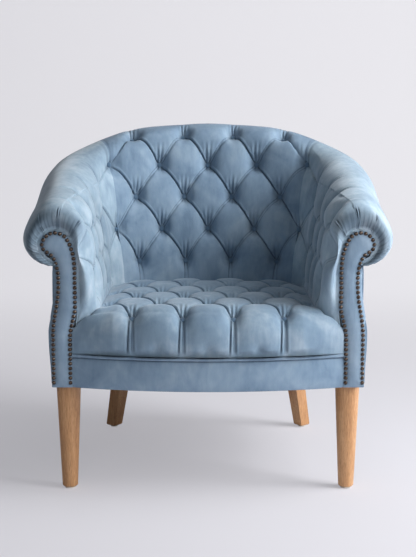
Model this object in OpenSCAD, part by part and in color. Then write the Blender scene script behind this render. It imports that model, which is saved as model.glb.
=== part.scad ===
// Deep-buttoned tub armchair with a rolled rim, scroll facings and four oak legs.
// Millimetres, +Z up, front towards -Y, origin on the floor under the middle.

/* [Overall] */
// Width over the plain outer arm walls
body_w = 716; // [690:2:750]
// Depth from the facings to the outer back wall
body_d = 650; // [620:2:680]
// Height of the back rim over the floor
back_h = 844; // [820:2:880]
// Fall of the rim from the back to the front of the arms
rim_drop = 172; // [160:1:185]
// Height of the underside of the body, which is the height of the legs
leg_h = 250; // [226:2:262]
// Height of the seat crown over the floor
seat_h = 430; // [422:1:440]

/* [Plan] */
// Corner radius of the outer wall
corner_r = 210; // [180:2:240]
// Radius of the gently bowed outer back wall
back_r = 600; // [550:10:700]
// Bow of the seat front ahead of the facings
front_bow = 48; // [30:1:60]
// Thickness of an arm from the side of the seat to its outer wall
arm_w = 110; // [104:1:116]
// Depth of the seat from the facings to the inside back
seat_d = 485; // [460:1:500]

/* [Upholstery] */
// Radius of the roll along the arms
roll_arm = 72; // [66:1:76]
// Radius of the roll along the back
roll_back = 62; // [56:1:66]
// Depth of a button well under the cushion face
well = 17; // [8:1:20]
// Crown of a diamond over the cushion face
puff = 11; // [4:1:14]
// Spacing of the button rows on arms and back
row_gap = 87; // [80:1:92]
// Diameter of a facing nail head
nail_d = 9; // [7:0.5:10]
// Spacing of the facing nails
nail_gap = 11; // [10.5:0.5:16]

/* [Frame] */
// Height of the base rails
rail_h = 69; // [58:1:80]
// Thickness of the base rails
rail_t = 30; // [24:1:34]
// Thickness of a facing
facing_t = 12; // [8:1:14]
// Thickness of the outer wall of board and velvet
wall_t = 6; // [4:0.5:8]
// Clearance between neighbouring soft pieces
gap = 0.3; // [0.2:0.05:0.4]

/* [Legs] */
// Top diameter of a front leg
leg_top = 57; // [45:1:60]
// Foot diameter of a front leg
leg_foot = 36; // [28:1:44]
// Top width of a square rear leg
rear_top = 40; // [32:1:44]
// Foot width of a square rear leg
rear_foot = 31; // [24:1:36]
// Outward and backward splay of a rear leg
splay = 40; // [20:1:48]
// Height of a foot glide
glide_h = 4; // [2:0.5:6]

/* [Hidden] */
$fn = 48;
arm_h = back_h - rim_drop;
seat_w = body_w - 2 * arm_w;
seat_gap = seat_w * 0.2319;
core_in = 49.5;
lip = 12;
flare = 13;
seat_out = 16;
front_y = -(body_d + front_bow + seat_out + roll_back - 10) / 2 + front_bow + seat_out;
wall_x = body_w / 2;
wall_back = front_y + body_d;
bow_half = seat_w / 2 + core_in + flare;
bow_r = (bow_half * bow_half + front_bow * front_bow) / (2 * front_bow);
bow_cy = front_y - front_bow + bow_r;
rail_z = leg_h + rail_h;
top_plan = [wall_x - 10, corner_r - 10, back_r - 10, wall_back - 10];
seat_plan = [seat_w / 2, 100, 700, front_y + seat_d];
wall_plan = [wall_x, corner_r, back_r, wall_back];
last_s = 6;
seam_s = 2;
round_e = 55;
head_r = 35;
head_drop = 23;
roll_sag = 12;
head_x = 3;
core_step = 24.5;
core_r = (head_r + gap) / cos(core_step);
pad_low = rail_z + 11;
seat_low = rail_z + 11.5;
seat_round = 60;
front_leg_x = wall_x - 33;
front_leg_y = front_y + 45;
facing_y = front_y - 3;
wood_y = facing_y + facing_t + 0.1;
rail_out = wall_t + gap;
post_t = 46.9;
bar = 34;
tack_t = 20;
tack_z = rail_z + 30;
tack_h = 40;
rear_leg_x = wall_x - 133;
rear_leg_y = wall_back - back_r + sqrt(back_r * back_r - rear_leg_x * rear_leg_x) - 50;

// plan curve given as half width, corner radius, back radius and back position
function plan_cy(p) = p[3] - p[2];
function plan_a(p) = asin((p[0] - p[1]) / (p[2] - p[1]));
function plan_xc(p) = p[0] - p[1];
function plan_yc(p) = plan_cy(p) + (p[2] - p[1]) * cos(plan_a(p));
function plan_l1(p) = p[2] * plan_a(p) * PI / 180;
function plan_l2(p) = plan_l1(p) + p[1] * (90 - plan_a(p)) * PI / 180;
function plan_len(p) = plan_l2(p) + plan_yc(p) - front_y;
function plan_half(p, l) =
    l < plan_l1(p) ? [p[2] * sin(l / p[2] * 180 / PI), plan_cy(p) + p[2] * cos(l / p[2] * 180 / PI)] :
    l < plan_l2(p) ? let (g = plan_a(p) + (l - plan_l1(p)) / p[1] * 180 / PI)
        [plan_xc(p) + p[1] * sin(g), plan_yc(p) + p[1] * cos(g)] :
    [p[0], plan_yc(p) - (l - plan_l2(p))];
function plan_at(p, l) = let (q = plan_half(p, abs(l))) [l < 0 ? -q[0] : q[0], q[1]];

// smooth step between two values with given slopes
function ease(t, a, b, ma, mb) =
    (2 * t * t * t - 3 * t * t + 1) * a + (t * t * t - 2 * t * t + t) * ma
    + (3 * t * t - 2 * t * t * t) * b + (t * t * t - t * t) * mb;

// length along a plan curve for a count of button spacings from the middle of the back
function along(p, s, u, v, f) =
    let (a = u * plan_l1(p), b = plan_l2(p) + v, c = plan_len(p), w = last_s - 2.5, m = a + (b - a) * f)
    s < 1.5 ? ease(s / 1.5, 0, a, a, a * 1.08) :
    s < 2 ? ease(2 * s - 3, a, m, a * 0.36, (b - a) * 0.48) :
    s < 2.5 ? ease(2 * s - 4, m, b, (b - a) * 0.48, (b - a) * 0.4) :
    ease((s - 2.5) / w, b, c, (b - a) * 0.8 * w, (c - b) * 0.93);
function top_len(s) = sign(s) * along(top_plan, abs(s), 0.94, 15, 0.36);
function seat_len(s) = sign(s) * along(seat_plan, abs(s), 1.02, -9, 0.43);
function top_at(s) = plan_at(top_plan, top_len(s));
function seat_at(s) = plan_at(seat_plan, seat_len(s));

// height of the roll centre along the rim
drop_all = (back_h - roll_back) - (arm_h - roll_arm);
function drop(l) =
    let (c = plan_len(top_plan), a = 0.4 * c, b = 0.604 * c, k = drop_all / 190)
    k * (l < a ? ease(l / a, 0, 65, 0, 102) :
    l < b ? ease((l - a) / (b - a), 65, 109, 52, 36) :
    ease((l - b) / (c - b), 109, 190, 70, 87));
function roll_z(s) = back_h - roll_back - drop(abs(top_len(s)));
function roll_r(s) =
    let (t = max(0, min(1, (abs(s) - 1) / 2.5)))
    roll_back + (roll_arm - roll_back) * t * t * (3 - 2 * t);
function reach(s) = norm(top_at(s) - seat_at(s));

// section of an upright cushion: a straight lean up to the roll, then round it
// c is the roll centre, r its radius, x0 the start at seat height
function lean_a(c, r, x0) = let (d = [c[0] - x0, c[1] - seat_h]) atan2(d[1], d[0]) + asin(r / norm(d));
function lean_l(c, r, x0) = let (d = norm([c[0] - x0, c[1] - seat_h])) sqrt(d * d - r * r);
function section(c, r, x0, v) =
    let (a = lean_a(c, r, x0), l = lean_l(c, r, x0))
    v < 0 ? [x0, seat_h + v] :
    v < l ? [x0 + v * cos(a), seat_h + v * sin(a)] :
    let (g = a + 90 - (v - l) / r * 180 / PI) [c[0] + r * cos(g), c[1] + r * sin(g)];
function section_n(c, r, x0, v) =
    let (a = lean_a(c, r, x0), l = lean_l(c, r, x0))
    v < 0 ? [-1, 0] :
    v < l ? [-sin(a), cos(a)] :
    let (g = a + 90 - (v - l) / r * 180 / PI) [cos(g), sin(g)];
function outer_c(s) = [reach(s), roll_z(s)];
function core_c(s) = [reach(s) - head_x, roll_z(s) - head_drop];
function round_len(c, r, x0, low) = lean_l(c, r, x0) + r * (lean_a(c, r, x0) + 90 + low) * PI / 180;
function v_end(s) = round_len(outer_c(s), roll_r(s), 0, 80);
function place(s, q) =
    let (a = seat_at(s), b = top_at(s), e = (b - a) / norm(b - a))
    [a[0] + e[0] * q[0], a[1] + e[1] * q[0], q[1]];

// diamond buttoning: button rows one row_gap apart, buttons on half and whole counts in turn,
// and over the highest row one pleat from each button across the roll
first_v = 57;
function near(t) = abs(t - round(t));
function top_w(s) = s < 1.5 ? 4 : s < 2.5 ? 4 - 2 * (s - 1.5) : 2;
function pit(a, b) = let (q = pow(near(a), 2) + pow(near(b), 2)) 1 / (1 + 900 * q * q);
function pit_at(s, w) = pit(s - 0.5 + w / 2, s - 0.5 - w / 2);
function diamond(s, w) =
    let (a = s - 0.5 + w / 2, b = s - 0.5 - w / 2)
    [sqrt(abs(sin(180 * a) * sin(180 * b))), pit(a, b)];
function over_fade(s, over) =
    let (far = 0.9 + 0.6 * max(0, min(1, s - 1.5)))
    over <= 0 ? 1 : pow(max(0, 1 - over / far), 2);
function tuft(s, v) =
    let (
        w = (v - first_v) / row_gap,
        over = w - top_w(s),
        half = s > 1.5 && s < 2.5,
        d = w < 0 ? [abs(sin(180 * (s - 0.5))), pit_at(s, w)] :
            over <= 0 ? diamond(s, w) :
            half ? [sqrt(abs(sin(360 * (s - 1.5)))) * min(1, sqrt(over * 1.5)), pit_at(s, w)] :
            [abs(sin(180 * (s - 0.5))), over < 0.6 ? pit_at(s, w) : 0],
        fade = w < 0 ? pow(max(0, v / first_v), 2) : over_fade(s, over)
    )
    fade * (puff * (1.5 * d[0] - 0.5) - (well - puff / 2) * d[1]);
function crease(s, v) =
    let (d = abs(s - seam_s) * 130,
         k = over_fade(s, (v - first_v) / row_gap - top_w(s)) * min(1, v / first_v))
    d > 40 ? 0 : -6 * k * (1 - d / 40) * (1 - d / 40);

// the arms' rolls hang a little: less above the middle of the outer side, more below it
function sag(s, c, r, v) =
    let (t = max(0, min(1, (s - 2.5) / 2)), l = lean_l(c, r, 0),
         g = lean_a(c, r, 0) + 90 - (v - l) / r * 180 / PI)
    v < l || g > 90 ? 0 : -roll_sag * t * t * (3 - 2 * t) * sin(2 * g) * cos(g);

// front end of an arm: the section shrinks to the outline of the facing
function end_k(s) =
    let (q = max(0, min(1, 1 - (seat_at(s)[1] - front_y) / round_e)))
    1 - sqrt(1 - q * q);
function face_c() = [reach(last_s) - head_x, arm_h - roll_arm - head_drop];
function low_flare(v) = v < 0 ? flare * min(1, -v / 55) : 0;
function face_section(v) =
    let (c = face_c(), r = head_r + lip, x0 = core_in - lip,
         l = lean_l(outer_c(last_s), roll_r(last_s), 0), lf = lean_l(c, r, x0))
    v < 0 ? section(c, r, x0, v) + [low_flare(v), 0] :
    v < l ? section(c, r, x0, v * lf / l) :
    section(c, r, x0, lf + (v - l) * (round_len(c, r, x0, 58) - lf) / (v_end(last_s) - l));
function face_pt(s, v) =
    let (t = abs(s), c = outer_c(t), r = roll_r(t), k = end_k(t),
         h = v <= 0 ? 0 : (tuft(t, v) + crease(t, v) + sag(t, c, r, v)) * (1 - k),
         p = section(c, r, 0, v) + section_n(c, r, 0, v) * h)
    place(s, k == 0 ? p : p * (1 - k) + face_section(v) * k);
// the hollow behind a pad: low edge, seat height, top of the lean, then k - 2 steps round the rail
function core_pt(s, i, k) =
    let (c = core_c(abs(s)), l = lean_l(c, core_r, core_in),
         v = i < 2 ? (pad_low - seat_h) * (1 - i) :
             l + (round_len(c, core_r, core_in, 58) - l) * (i - 2) / (k - 2))
    place(s, section(c, core_r, core_in, v) + [low_flare(v) * end_k(abs(s)), 0]);
function row_v(s, i, low, rows, roll) =
    let (v0 = first_v + row_gap * rows, e = low + 3 + rows * 4)
    i < low ? (pad_low - seat_h) * (1 - i / low) :
    i < low + 3 ? first_v * (i - low) / 3 :
    i < e ? first_v + row_gap * (i - low - 3) / 4 :
    v0 + (v_end(abs(s)) - v0) * (i - e) / roll;

// closed skin of m by n cells, with m by k cells behind it and both ends zipped shut
function skin(m, n, k, low) =
    let (
        o = (m + 1) * (n + 1),
        z = [for (j = [0:n]) j < low ? 0 : 1 + round((j - low) * (k - 1) / (n - low))]
    )
    concat(
        [for (i = [0:m - 1], j = [0:n - 1]) let (a = i * (n + 1) + j, b = a + n + 1)
            each (((i + j) % 2 == 0) ? [[a, b + 1, b], [a, a + 1, b + 1]] :
                [[a, a + 1, b], [b, a + 1, b + 1]])],
        [for (i = [0:m - 1], j = [0:k - 1]) let (a = o + i * (k + 1) + j, b = a + k + 1)
            each [[a, b, b + 1], [a, b + 1, a + 1]]],
        [for (i = [0:m - 1]) let (a = i * (n + 1), b = o + i * (k + 1))
            each [[a, a + n + 1, b], [a + n + 1, b + k + 1, b]]],
        [for (i = [0:m - 1]) let (a = i * (n + 1) + n, b = o + i * (k + 1) + k)
            each [[a, b, a + n + 1], [a + n + 1, b, b + k + 1]]],
        [for (j = [0:n - 1]) each concat([[j, o + z[j], j + 1]],
            z[j + 1] > z[j] ? [[j + 1, o + z[j], o + z[j + 1]]] : [])],
        [for (j = [0:n - 1]) let (a = m * (n + 1), b = o + m * (k + 1))
            each concat([[a + j, a + j + 1, b + z[j]]],
                z[j + 1] > z[j] ? [[a + j + 1, b + z[j + 1], b + z[j]]] : [])]
    );
module pad(cols, low, rows, roll, k) {
    n = low + 3 + rows * 4 + roll;
    pts = concat(
        [for (s = cols, i = [0:n]) face_pt(s, row_v(s, i, low, rows, roll))],
        [for (s = cols, i = [0:k]) core_pt(s, i, k)]
    );
    polyhedron(points = pts, faces = skin(len(cols) - 1, n, k, low), convexity = 8);
}
seam_gap = gap / 240;
function arm_s(i) =
    i <= 26 ? seam_s + seam_gap + i * (3.25 - seam_gap) / 26 : 5.25 + 0.75 * sin(90 * (i - 26) / 7);

// seat: rows run from the back edge over the top, round the front edge and down to the piping
function bow_y(x) = bow_cy - sqrt(bow_r * bow_r - x * x);
function seat_edge(y, v) =
    let (q = max(0, min(1, 1 - (y + 1.5 - front_y) / round_e)), k = 1 - sqrt(1 - q * q))
    y < front_y - 0.2 ? seat_w / 2 + core_in - gap + low_flare(v) :
    seat_w / 2 - 2 * gap + k * (core_in - lip - 1.5 + low_flare(v));
function seat_back(x) =
    let (p = seat_plan, xc = plan_xc(p), a = plan_l1(p), xt = p[2] * sin(plan_a(p)))
    (abs(x) < xt ? plan_cy(p) + sqrt(p[2] * p[2] - x * x) :
    plan_yc(p) + sqrt(max(0, p[1] * p[1] - pow(abs(x) - xc, 2)))) - gap;
seat_arc = seat_round * PI / 2;
seat_down = seat_h - seat_round - seat_low;
seat_back_u = 471;
function seat_u(j) =
    j < 3 ? -seat_back_u + (seat_back_u - 340) * j / 3 :
    j < 19 ? -340 + 95 * (j - 3) / 4 :
    40 + (seat_arc + seat_down - 40) * (j - 19) / 8;
function seat_tuft(c, u) =
    let (w = (40 - u) / 95)
    w < 0 ? [abs(sin(180 * (c - 0.5))), pit_at(c, w)] : diamond(c, w);
// columns keep the button spacing and only the outer ones spread to the side edge
side_c = 2.125;
function seat_x(c, e) =
    let (t = max(0, (abs(c) - 1.5) / (side_c - 1.5)))
    sign(c) * (abs(c) * seat_gap + (e - side_c * seat_gap) * t * t);
function seat_pt(c, u) =
    let (
        p = c / side_c,
        y0 = bow_y(seat_x(c, bow_half)) + seat_round - 3,
        yb = seat_back(seat_x(c, seat_w / 2 - gap)),
        g = u / seat_round * 180 / PI,
        y = u < -150 ? y0 + 150 + (-150 - u) / (seat_back_u - 150) * (yb - y0 - 150) :
            u < 0 ? y0 - u : u < seat_arc ? y0 - seat_round * sin(g) : y0 - seat_round,
        z = u < 0 ? seat_h :
            u < seat_arc ? seat_h - seat_round * (1 - cos(g)) : seat_h - seat_round - (u - seat_arc),
        nrm = u < 0 ? [0, 1] : u < seat_arc ? [-sin(g), cos(g)] : [-1, 0],
        x = seat_x(c, seat_edge(y, z - seat_h)),
        far = max(0, min(1, (yb - y) / 40)) * max(0, min(1, (z - seat_low) / 45)),
        edge = min(1, (1 - abs(p)) * 6) * far,
        hold = min(1, (1 - abs(p)) * 17) * far,
        d = seat_tuft(c, u),
        crown = 5 * (1 - p * p) * max(0, min(1, (yb - y) / 60)) * (u < 0 ? 1 : max(0, 1 - u / seat_arc)),
        h = edge * (puff * (1.5 * d[0] - 0.4) + 2) - hold * (well - puff / 2) * d[1] + crown
    )
    [x, y + nrm[0] * h, z + nrm[1] * h];

// flat triangles that close a bow between its mirrored halves
function strips(f) =
    let (m = len(f) - 1)
    [for (i = [0:m / 2 - 1]) each concat([[f[i], f[i + 1], f[m - i]]],
        i < m / 2 - 1 ? [[f[m - i], f[i + 1], f[m - i - 1]]] : [])];

module seat_pad() color("#7e9bb3") {
    m = 34;
    n = 27;
    k = 22;
    grid = [for (i = [0:m], j = [0:n]) seat_pt((2 * i / m - 1) * side_c, seat_u(j))];
    o = len(grid);
    r = m * (n + 1);
    low_l = [for (j = [0:k]) let (g = grid[j]) [-seat_edge(g[1], seat_low - seat_h), g[1], seat_low]];
    low_r = [for (g = low_l) [-g[0], g[1], g[2]]];
    low_b = [for (i = [1:m - 1]) let (g = grid[i * (n + 1)]) [g[0], g[1], seat_low]];
    ol = o;
    right = o + k + 1;
    ob = o + 2 * (k + 1);
    back = [for (i = [0:m]) i == 0 ? ol : i == m ? right : ob + i - 1];
    polyhedron(
        points = concat(grid, low_l, low_r, low_b),
        faces = concat(
            [for (i = [0:m - 1], j = [0:n - 1]) let (a = i * (n + 1) + j, b = a + n + 1)
                each (((i + j) % 2 == 0) ? [[a, b, b + 1], [a, b + 1, a + 1]] :
                    [[a, b, a + 1], [b, b + 1, a + 1]])],
            [for (j = [0:k - 1]) each [[j, j + 1, ol + j], [j + 1, ol + j + 1, ol + j]]],
            [for (j = [k:n - 1]) [j, j + 1, ol + k]],
            [for (j = [0:k - 1]) each [[r + j, right + j, r + j + 1], [r + j + 1, right + j, right + j + 1]]],
            [for (j = [k:n - 1]) [r + j, right + k, r + j + 1]],
            [for (i = [0:m - 1]) let (a = i * (n + 1), b = a + n + 1)
                each [[a, back[i], b], [b, back[i], back[i + 1]]]],
            [for (j = [0:k - 1])
                each [[ol + j, ol + j + 1, right + j], [right + j, ol + j + 1, right + j + 1]]],
            [[ol + k, n, right + k], [right + k, n, r + n]],
            strips([for (i = [0:m]) i * (n + 1) + n]),
            strips([for (i = [m:-1:0]) back[i]])
        ),
        convexity = 6
    );
}

module inside_back() color("#7e9bb3") pad([for (i = [-16:16]) i / 16 * (seam_s - seam_gap)], 1, 4, 8, 7);
module arm_pad() pad([for (i = [0:33]) arm_s(i)], 2, 2, 10, 7);
module inside_arm_right() color("#7e9bb3") arm_pad();
module inside_arm_left() color("#7e9bb3") mirror([1, 0, 0]) arm_pad();

// a covered button on a stub that sits in a well, standing along the direction n
module stud(p, n, h = 7.5) {
    translate(p) rotate([0, acos(n[2]), atan2(n[1], n[0])]) translate([0, 0, 0.8]) {
        cylinder(h = h, r1 = 0.5, r2 = 5);
        translate([0, 0, h]) cylinder(h = 1.5, r1 = 7.5, r2 = 8);
        translate([0, 0, h + 1.5]) cylinder(h = 2, r1 = 8, r2 = 5);
    }
}
module wall_stud(s, k, h = 7.5) {
    v = first_v + k * row_gap;
    q = section_n(outer_c(abs(s)), roll_r(abs(s)), 0, v);
    d = place(s, [1, 0]) - place(s, [0, 0]);
    stud(face_pt(s, v), [d[0] * q[0], d[1] * q[0], q[1]], h);
}
module back_buttons() color("#6f8ca5") {
    for (s = [-1.5:1:1.5], k = [0, 2, 4]) wall_stud(s, k);
    for (s = [-2:1:2], k = [1, 3]) wall_stud(s, k, abs(s) == seam_s ? 11 : 7.5);
}
module arm_buttons_right() color("#6f8ca5") {
    for (s = [2.5:1:4.5], k = [0, 2]) wall_stud(s, k, 9);
    for (s = [3, 4, 5]) wall_stud(s, 1, 9);
}
module arm_buttons_left() color("#6f8ca5") mirror([1, 0, 0]) arm_buttons_right();
module seat_stud(c, k) {
    u = 40 - 95 * k;
    g = max(0, u / seat_round * 180 / PI);
    stud(seat_pt(c, u), [0, -sin(g), cos(g)]);
}
module seat_buttons() color("#6f8ca5") {
    for (c = [-1.5:1:1.5], k = [0, 2, 4]) seat_stud(c, k);
    for (c = [-2:1:2], k = [1, 3]) seat_stud(c, k);
}

// outline of a facing, taken in from its edge by t: up the inner side, round the head, down the neck
function head_at() = [wall_x - 10 - head_x, arm_h - roll_arm - head_drop];
function inner_x() = seat_w / 2 + core_in + gap;
function face_in(v) = section([head_at()[0] - seat_w / 2, head_at()[1]], head_r, core_in + gap, v);
function face_line() =
    let (c = head_at(), x0 = core_in + gap, d = [c[0] - seat_w / 2, c[1]], l = lean_l(d, head_r, x0),
         a = lean_a(d, head_r, x0))
    concat(
        [for (z = [leg_h + 1, seat_h - 120, seat_h - 75]) [inner_x() + flare, z]],
        [for (v = [-52:13:-13]) [inner_x() + low_flare(v), seat_h + v]],
        [for (v = [0:l / 6:l - 1]) let (q = face_in(v)) [q[0] + seat_w / 2, q[1]]],
        [for (g = [a + 90:-15:6]) c + head_r * [cos(g), sin(g)]],
        [for (i = [0:16]) neck(i / 16)],
        [[wall_x, seat_h - 75], [wall_x, seat_h - 120], [wall_x, leg_h + 1]]
    );
// outer side of a facing: curled in under the head, straight down, then out to the wall
function bend(a, b, c, d, t) =
    a * pow(1 - t, 3) + 3 * b * t * pow(1 - t, 2) + 3 * c * t * t * (1 - t) + d * t * t * t;
function neck(t) =
    let (c = head_at(), r = head_r, q = [c[0] + 0.35 * r, c[1] - 0.69 * r], e = [c[0] - 1, c[1] - 2.2 * r],
         u = max(0, (t - 0.7) / 0.3), w = max(0, (u - 0.1) / 0.9))
    t < 0.4 ? bend([c[0] + r, c[1]], [c[0] + r, c[1] - 0.31 * r], [c[0] + 0.59 * r, c[1] - 0.5 * r], q,
        t / 0.4) :
    t < 0.7 ? bend(q, [c[0] + 0.13 * r, c[1] - 0.91 * r], [e[0], c[1] - 1.49 * r], e, (t - 0.4) / 0.3) :
    [e[0] + (wall_x - e[0]) * w * w * (3 - 2 * w), e[1] + (seat_h - 58 - e[1]) * u];
function inset(pts, t) =
    [for (i = [0:len(pts) - 1])
        let (a = pts[max(0, i - 1)], b = pts[min(len(pts) - 1, i + 1)], d = (b - a) / norm(b - a))
        pts[i] + t * [d[1], -d[0]]];
module facing() {
    translate([0, facing_y + facing_t, 0]) rotate([90, 0, 0]) linear_extrude(facing_t) polygon(face_line());
}
module facing_right() color("#86a2b8") facing();
module facing_left() color("#86a2b8") mirror([1, 0, 0]) facing();

// nail heads at equal steps along the facing edge
nail_line = inset(face_line(), nail_d / 2 + 0.2);
function run(pts, i = 0, l = 0, out = [0]) =
    i >= len(pts) - 1 ? out :
    let (m = l + norm(pts[i + 1] - pts[i])) run(pts, i + 1, m, concat(out, [m]));
nail_run = run(nail_line);
nail_total = nail_run[len(nail_run) - 1];
function walk(l) =
    let (i = max([for (j = [0:len(nail_run) - 2]) if (nail_run[j] <= l) j]),
         t = (l - nail_run[i]) / (nail_run[i + 1] - nail_run[i]))
    nail_line[i] * (1 - t) + nail_line[i + 1] * t;
module nails() {
    count = floor((nail_total - 10) / nail_gap);
    for (i = [0:count]) {
        q = walk(6 + i * (nail_total - 12) / count);
        translate([q[0], facing_y, q[1]]) rotate([90, 0, 0])
            cylinder(h = 2.6, d1 = nail_d, d2 = nail_d * 0.5, $fn = 16);
    }
}
module facing_nails_right() color("#8a6a45") nails();
module facing_nails_left() color("#8a6a45") mirror([1, 0, 0]) nails();

// a ring sector round a plan centre, from radius r1 to r2 between two angles
module sector(c, r1, r2, z, h, a1, a2) {
    translate([c[0], c[1], z]) rotate([0, 0, a1]) rotate_extrude(angle = a2 - a1, $fn = 96)
        translate([r1, 0]) square([r2 - r1, h]);
}
wall_a = plan_a(wall_plan);
wall_c = [0, plan_cy(wall_plan)];
corner_c = [plan_xc(wall_plan), plan_yc(wall_plan)];
// shell that follows the back and both corners, from depth d1 to d2 inside the outer wall
function ring_pts(d) =
    let (p = [wall_x - d, corner_r - d, back_r - d, wall_back - d], l = plan_l2(p))
    [for (i = [-36:36]) plan_at(p, l * i / 36)];
module round_back(d1, d2, z, h) {
    outer = ring_pts(d1);
    inner = ring_pts(d2);
    translate([0, 0, z]) linear_extrude(h) polygon(concat(outer, [for (i = [72:-1:0]) inner[i]]));
}
function wall_top(s) = roll_z(s) - roll_r(s) - 3 * gap;
function s_at_y(y) = find_s(y, 2.5, last_s, 14);
function find_s(y, a, b, n) =
    let (m = (a + b) / 2)
    n == 0 ? m : top_at(m)[1] > y ? find_s(y, m, b, n - 1) : find_s(y, a, m, n - 1);
module arm_wall() {
    y1 = wood_y + 0.2;
    y2 = corner_c[1] - gap;
    translate([wall_x - wall_t, 0, 0]) rotate([90, 0, 90]) linear_extrude(wall_t)
        polygon(concat([[y2, leg_h + 0.5], [y1, leg_h + 0.5]],
            [for (i = [0:12]) let (y = y1 + (y2 - y1) * i / 12) [y, wall_top(s_at_y(y))]]));
    low = seat_h - 24;
    translate([0, wood_y + 1, 0]) rotate([90, 0, 0]) linear_extrude(8) difference() {
        translate([wall_x - 20, low]) square([20, wall_top(last_s) - 1 - low]);
        translate([gap, 0]) polygon(face_line());
    }
}
module outside_arm_right() color("#7e9bb3") arm_wall();
module outside_arm_left() color("#7e9bb3") mirror([1, 0, 0]) arm_wall();
function wall_at(s) =
    let (l = top_len(s), l1 = plan_l1(top_plan), w1 = plan_l1(wall_plan))
    l < l1 ? plan_at(wall_plan, l * w1 / l1) : plan_at(wall_plan, w1 + (l - l1) * corner_r / (corner_r - 10));
module outside_back() color("#7e9bb3") intersection() {
    round_back(0, wall_t, leg_h + 0.5, back_h - leg_h);
    side = [for (s = [0:0.2:2.4]) [wall_at(s)[0], wall_top(s)]];
    far = [[wall_x + 5, wall_top(2.45)]];
    translate([0, wall_back + 10, 0]) rotate([90, 0, 0]) linear_extrude(body_d)
        polygon(concat([for (i = [len(side) - 1:-1:1]) [-side[i][0], side[i][1]]], side, far,
            [[wall_x + 5, leg_h], [-wall_x - 5, leg_h], [-wall_x - 5, wall_top(2.45)]]));
}

bow_a = asin(bow_half / bow_r);
module bowed(r1, r2, z, h, half) {
    a = asin(half / r2);
    sector([0, bow_cy], r1, r2, z, h, 270 - a, 270 + a);
}
module front_border() color("#7e9bb3") bowed(bow_r - 8, bow_r, leg_h + 0.5, rail_h + 1.2, bow_half);
module welt_cord(z) {
    translate([0, bow_cy, z]) rotate([0, 0, 270 - bow_a]) rotate_extrude(angle = 2 * bow_a, $fn = 96)
        translate([bow_r - 4, 0]) circle(r = 4.4, $fn = 24);
}
module front_welt() color("#6f8ca5") welt_cord(rail_z + 6.5);

block_x = 260;
module front_rail() color("#c9a77c") intersection() {
    bowed(bow_r - 8.2 - 28, bow_r - 8.2, leg_h, rail_h, block_x + 20);
    translate([-block_x, front_y - 100, leg_h]) cube([2 * block_x, 300, rail_h]);
}
module side_rail() {
    y1 = wood_y + 85;
    translate([wall_x - rail_out - rail_t, y1, leg_h]) cube([rail_t, corner_c[1] - y1, rail_h]);
}
module side_rail_right() color("#c9a77c") side_rail();
module side_rail_left() color("#c9a77c") mirror([1, 0, 0]) side_rail();
module back_rail() color("#c9a77c") round_back(rail_out, rail_out + rail_t, leg_h, rail_h);
module front_block() difference() {
    translate([block_x, wood_y, leg_h]) cube([wall_x - rail_out - block_x, 85, rail_h]);
    translate([front_leg_x, front_leg_y, leg_h - 1]) cylinder(h = 47, r = 4.2);
}
module front_block_right() color("#c9a77c") front_block();
module front_block_left() color("#c9a77c") mirror([1, 0, 0]) front_block();
rear_a = atan2(rear_leg_y - corner_c[1], rear_leg_x - corner_c[0]);
module rear_block() difference() {
    intersection() {
        translate([corner_c[0], corner_c[1], leg_h])
            cylinder(h = 60, r = corner_r - rail_out - rail_t - 0.2, $fn = 96);
        translate([corner_c[0], corner_c[1], leg_h]) rotate([0, 0, rear_a])
            translate([90, -55, 0]) cube([120, 110, 60]);
    }
    translate([rear_leg_x, rear_leg_y, leg_h - 1]) cylinder(h = 47, r = 4.2);
}
module rear_block_right() color("#c9a77c") rear_block();
module rear_block_left() color("#c9a77c") mirror([1, 0, 0]) rear_block();

module arm_post() intersection() {
    translate([0, wood_y + post_t, 0]) rotate([90, 0, 0]) linear_extrude(post_t)
        polygon(inset(face_line(), 1.2));
    translate([block_x, wood_y - 1, rail_z]) cube([wall_x - 9 - block_x, post_t + 2, 400]);
}
module arm_post_right() color("#c9a77c") arm_post();
module arm_post_left() color("#c9a77c") mirror([1, 0, 0]) arm_post();
// arm rail: a straight bar that rises with the rim
function rim_z(y) = roll_z(s_at_y(y)) - head_drop;
rail_y1 = wood_y + post_t + 0.1;
rail_y2 = corner_c[1] - 0.1;
rail_a = atan2(rim_z(rail_y2 - 20) - rim_z(rail_y1), rail_y2 - 20 - rail_y1);
module arm_rail() intersection() {
    translate([head_at()[0] - bar / 2, rail_y1, rim_z(rail_y1)]) rotate([rail_a, 0, 0])
        translate([0, -30, -bar / 2]) cube([bar, 520, bar]);
    translate([wall_x - 120, rail_y1, leg_h]) cube([130, rail_y2 - rail_y1, back_h]);
}
module arm_rail_right() color("#c9a77c") arm_rail();
module arm_rail_left() color("#c9a77c") mirror([1, 0, 0]) arm_rail();
module rear_arm_post() {
    y = corner_c[1] - 35;
    top = rim_z(rail_y1) + (y - rail_y1) * tan(rail_a) - bar / 2 / cos(rail_a) - 0.1;
    x = inner_x() + tack_t + 0.9;
    translate([x, y, rail_z]) cube([wall_x - rail_out - 1 - x, 30, top - rail_z]);
}
module rear_arm_post_right() color("#c9a77c") rear_arm_post();
module rear_arm_post_left() color("#c9a77c") mirror([1, 0, 0]) rear_arm_post();

top_r = back_r - 10 - head_x;
top_z = back_h - roll_back - head_drop - 13 - 0.39 * drop(plan_l1(top_plan));
module top_rail() color("#c9a77c")
    sector(wall_c, top_r - 15, top_r + 15, top_z, 26, 90 - wall_a, 90 + wall_a);
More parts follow.
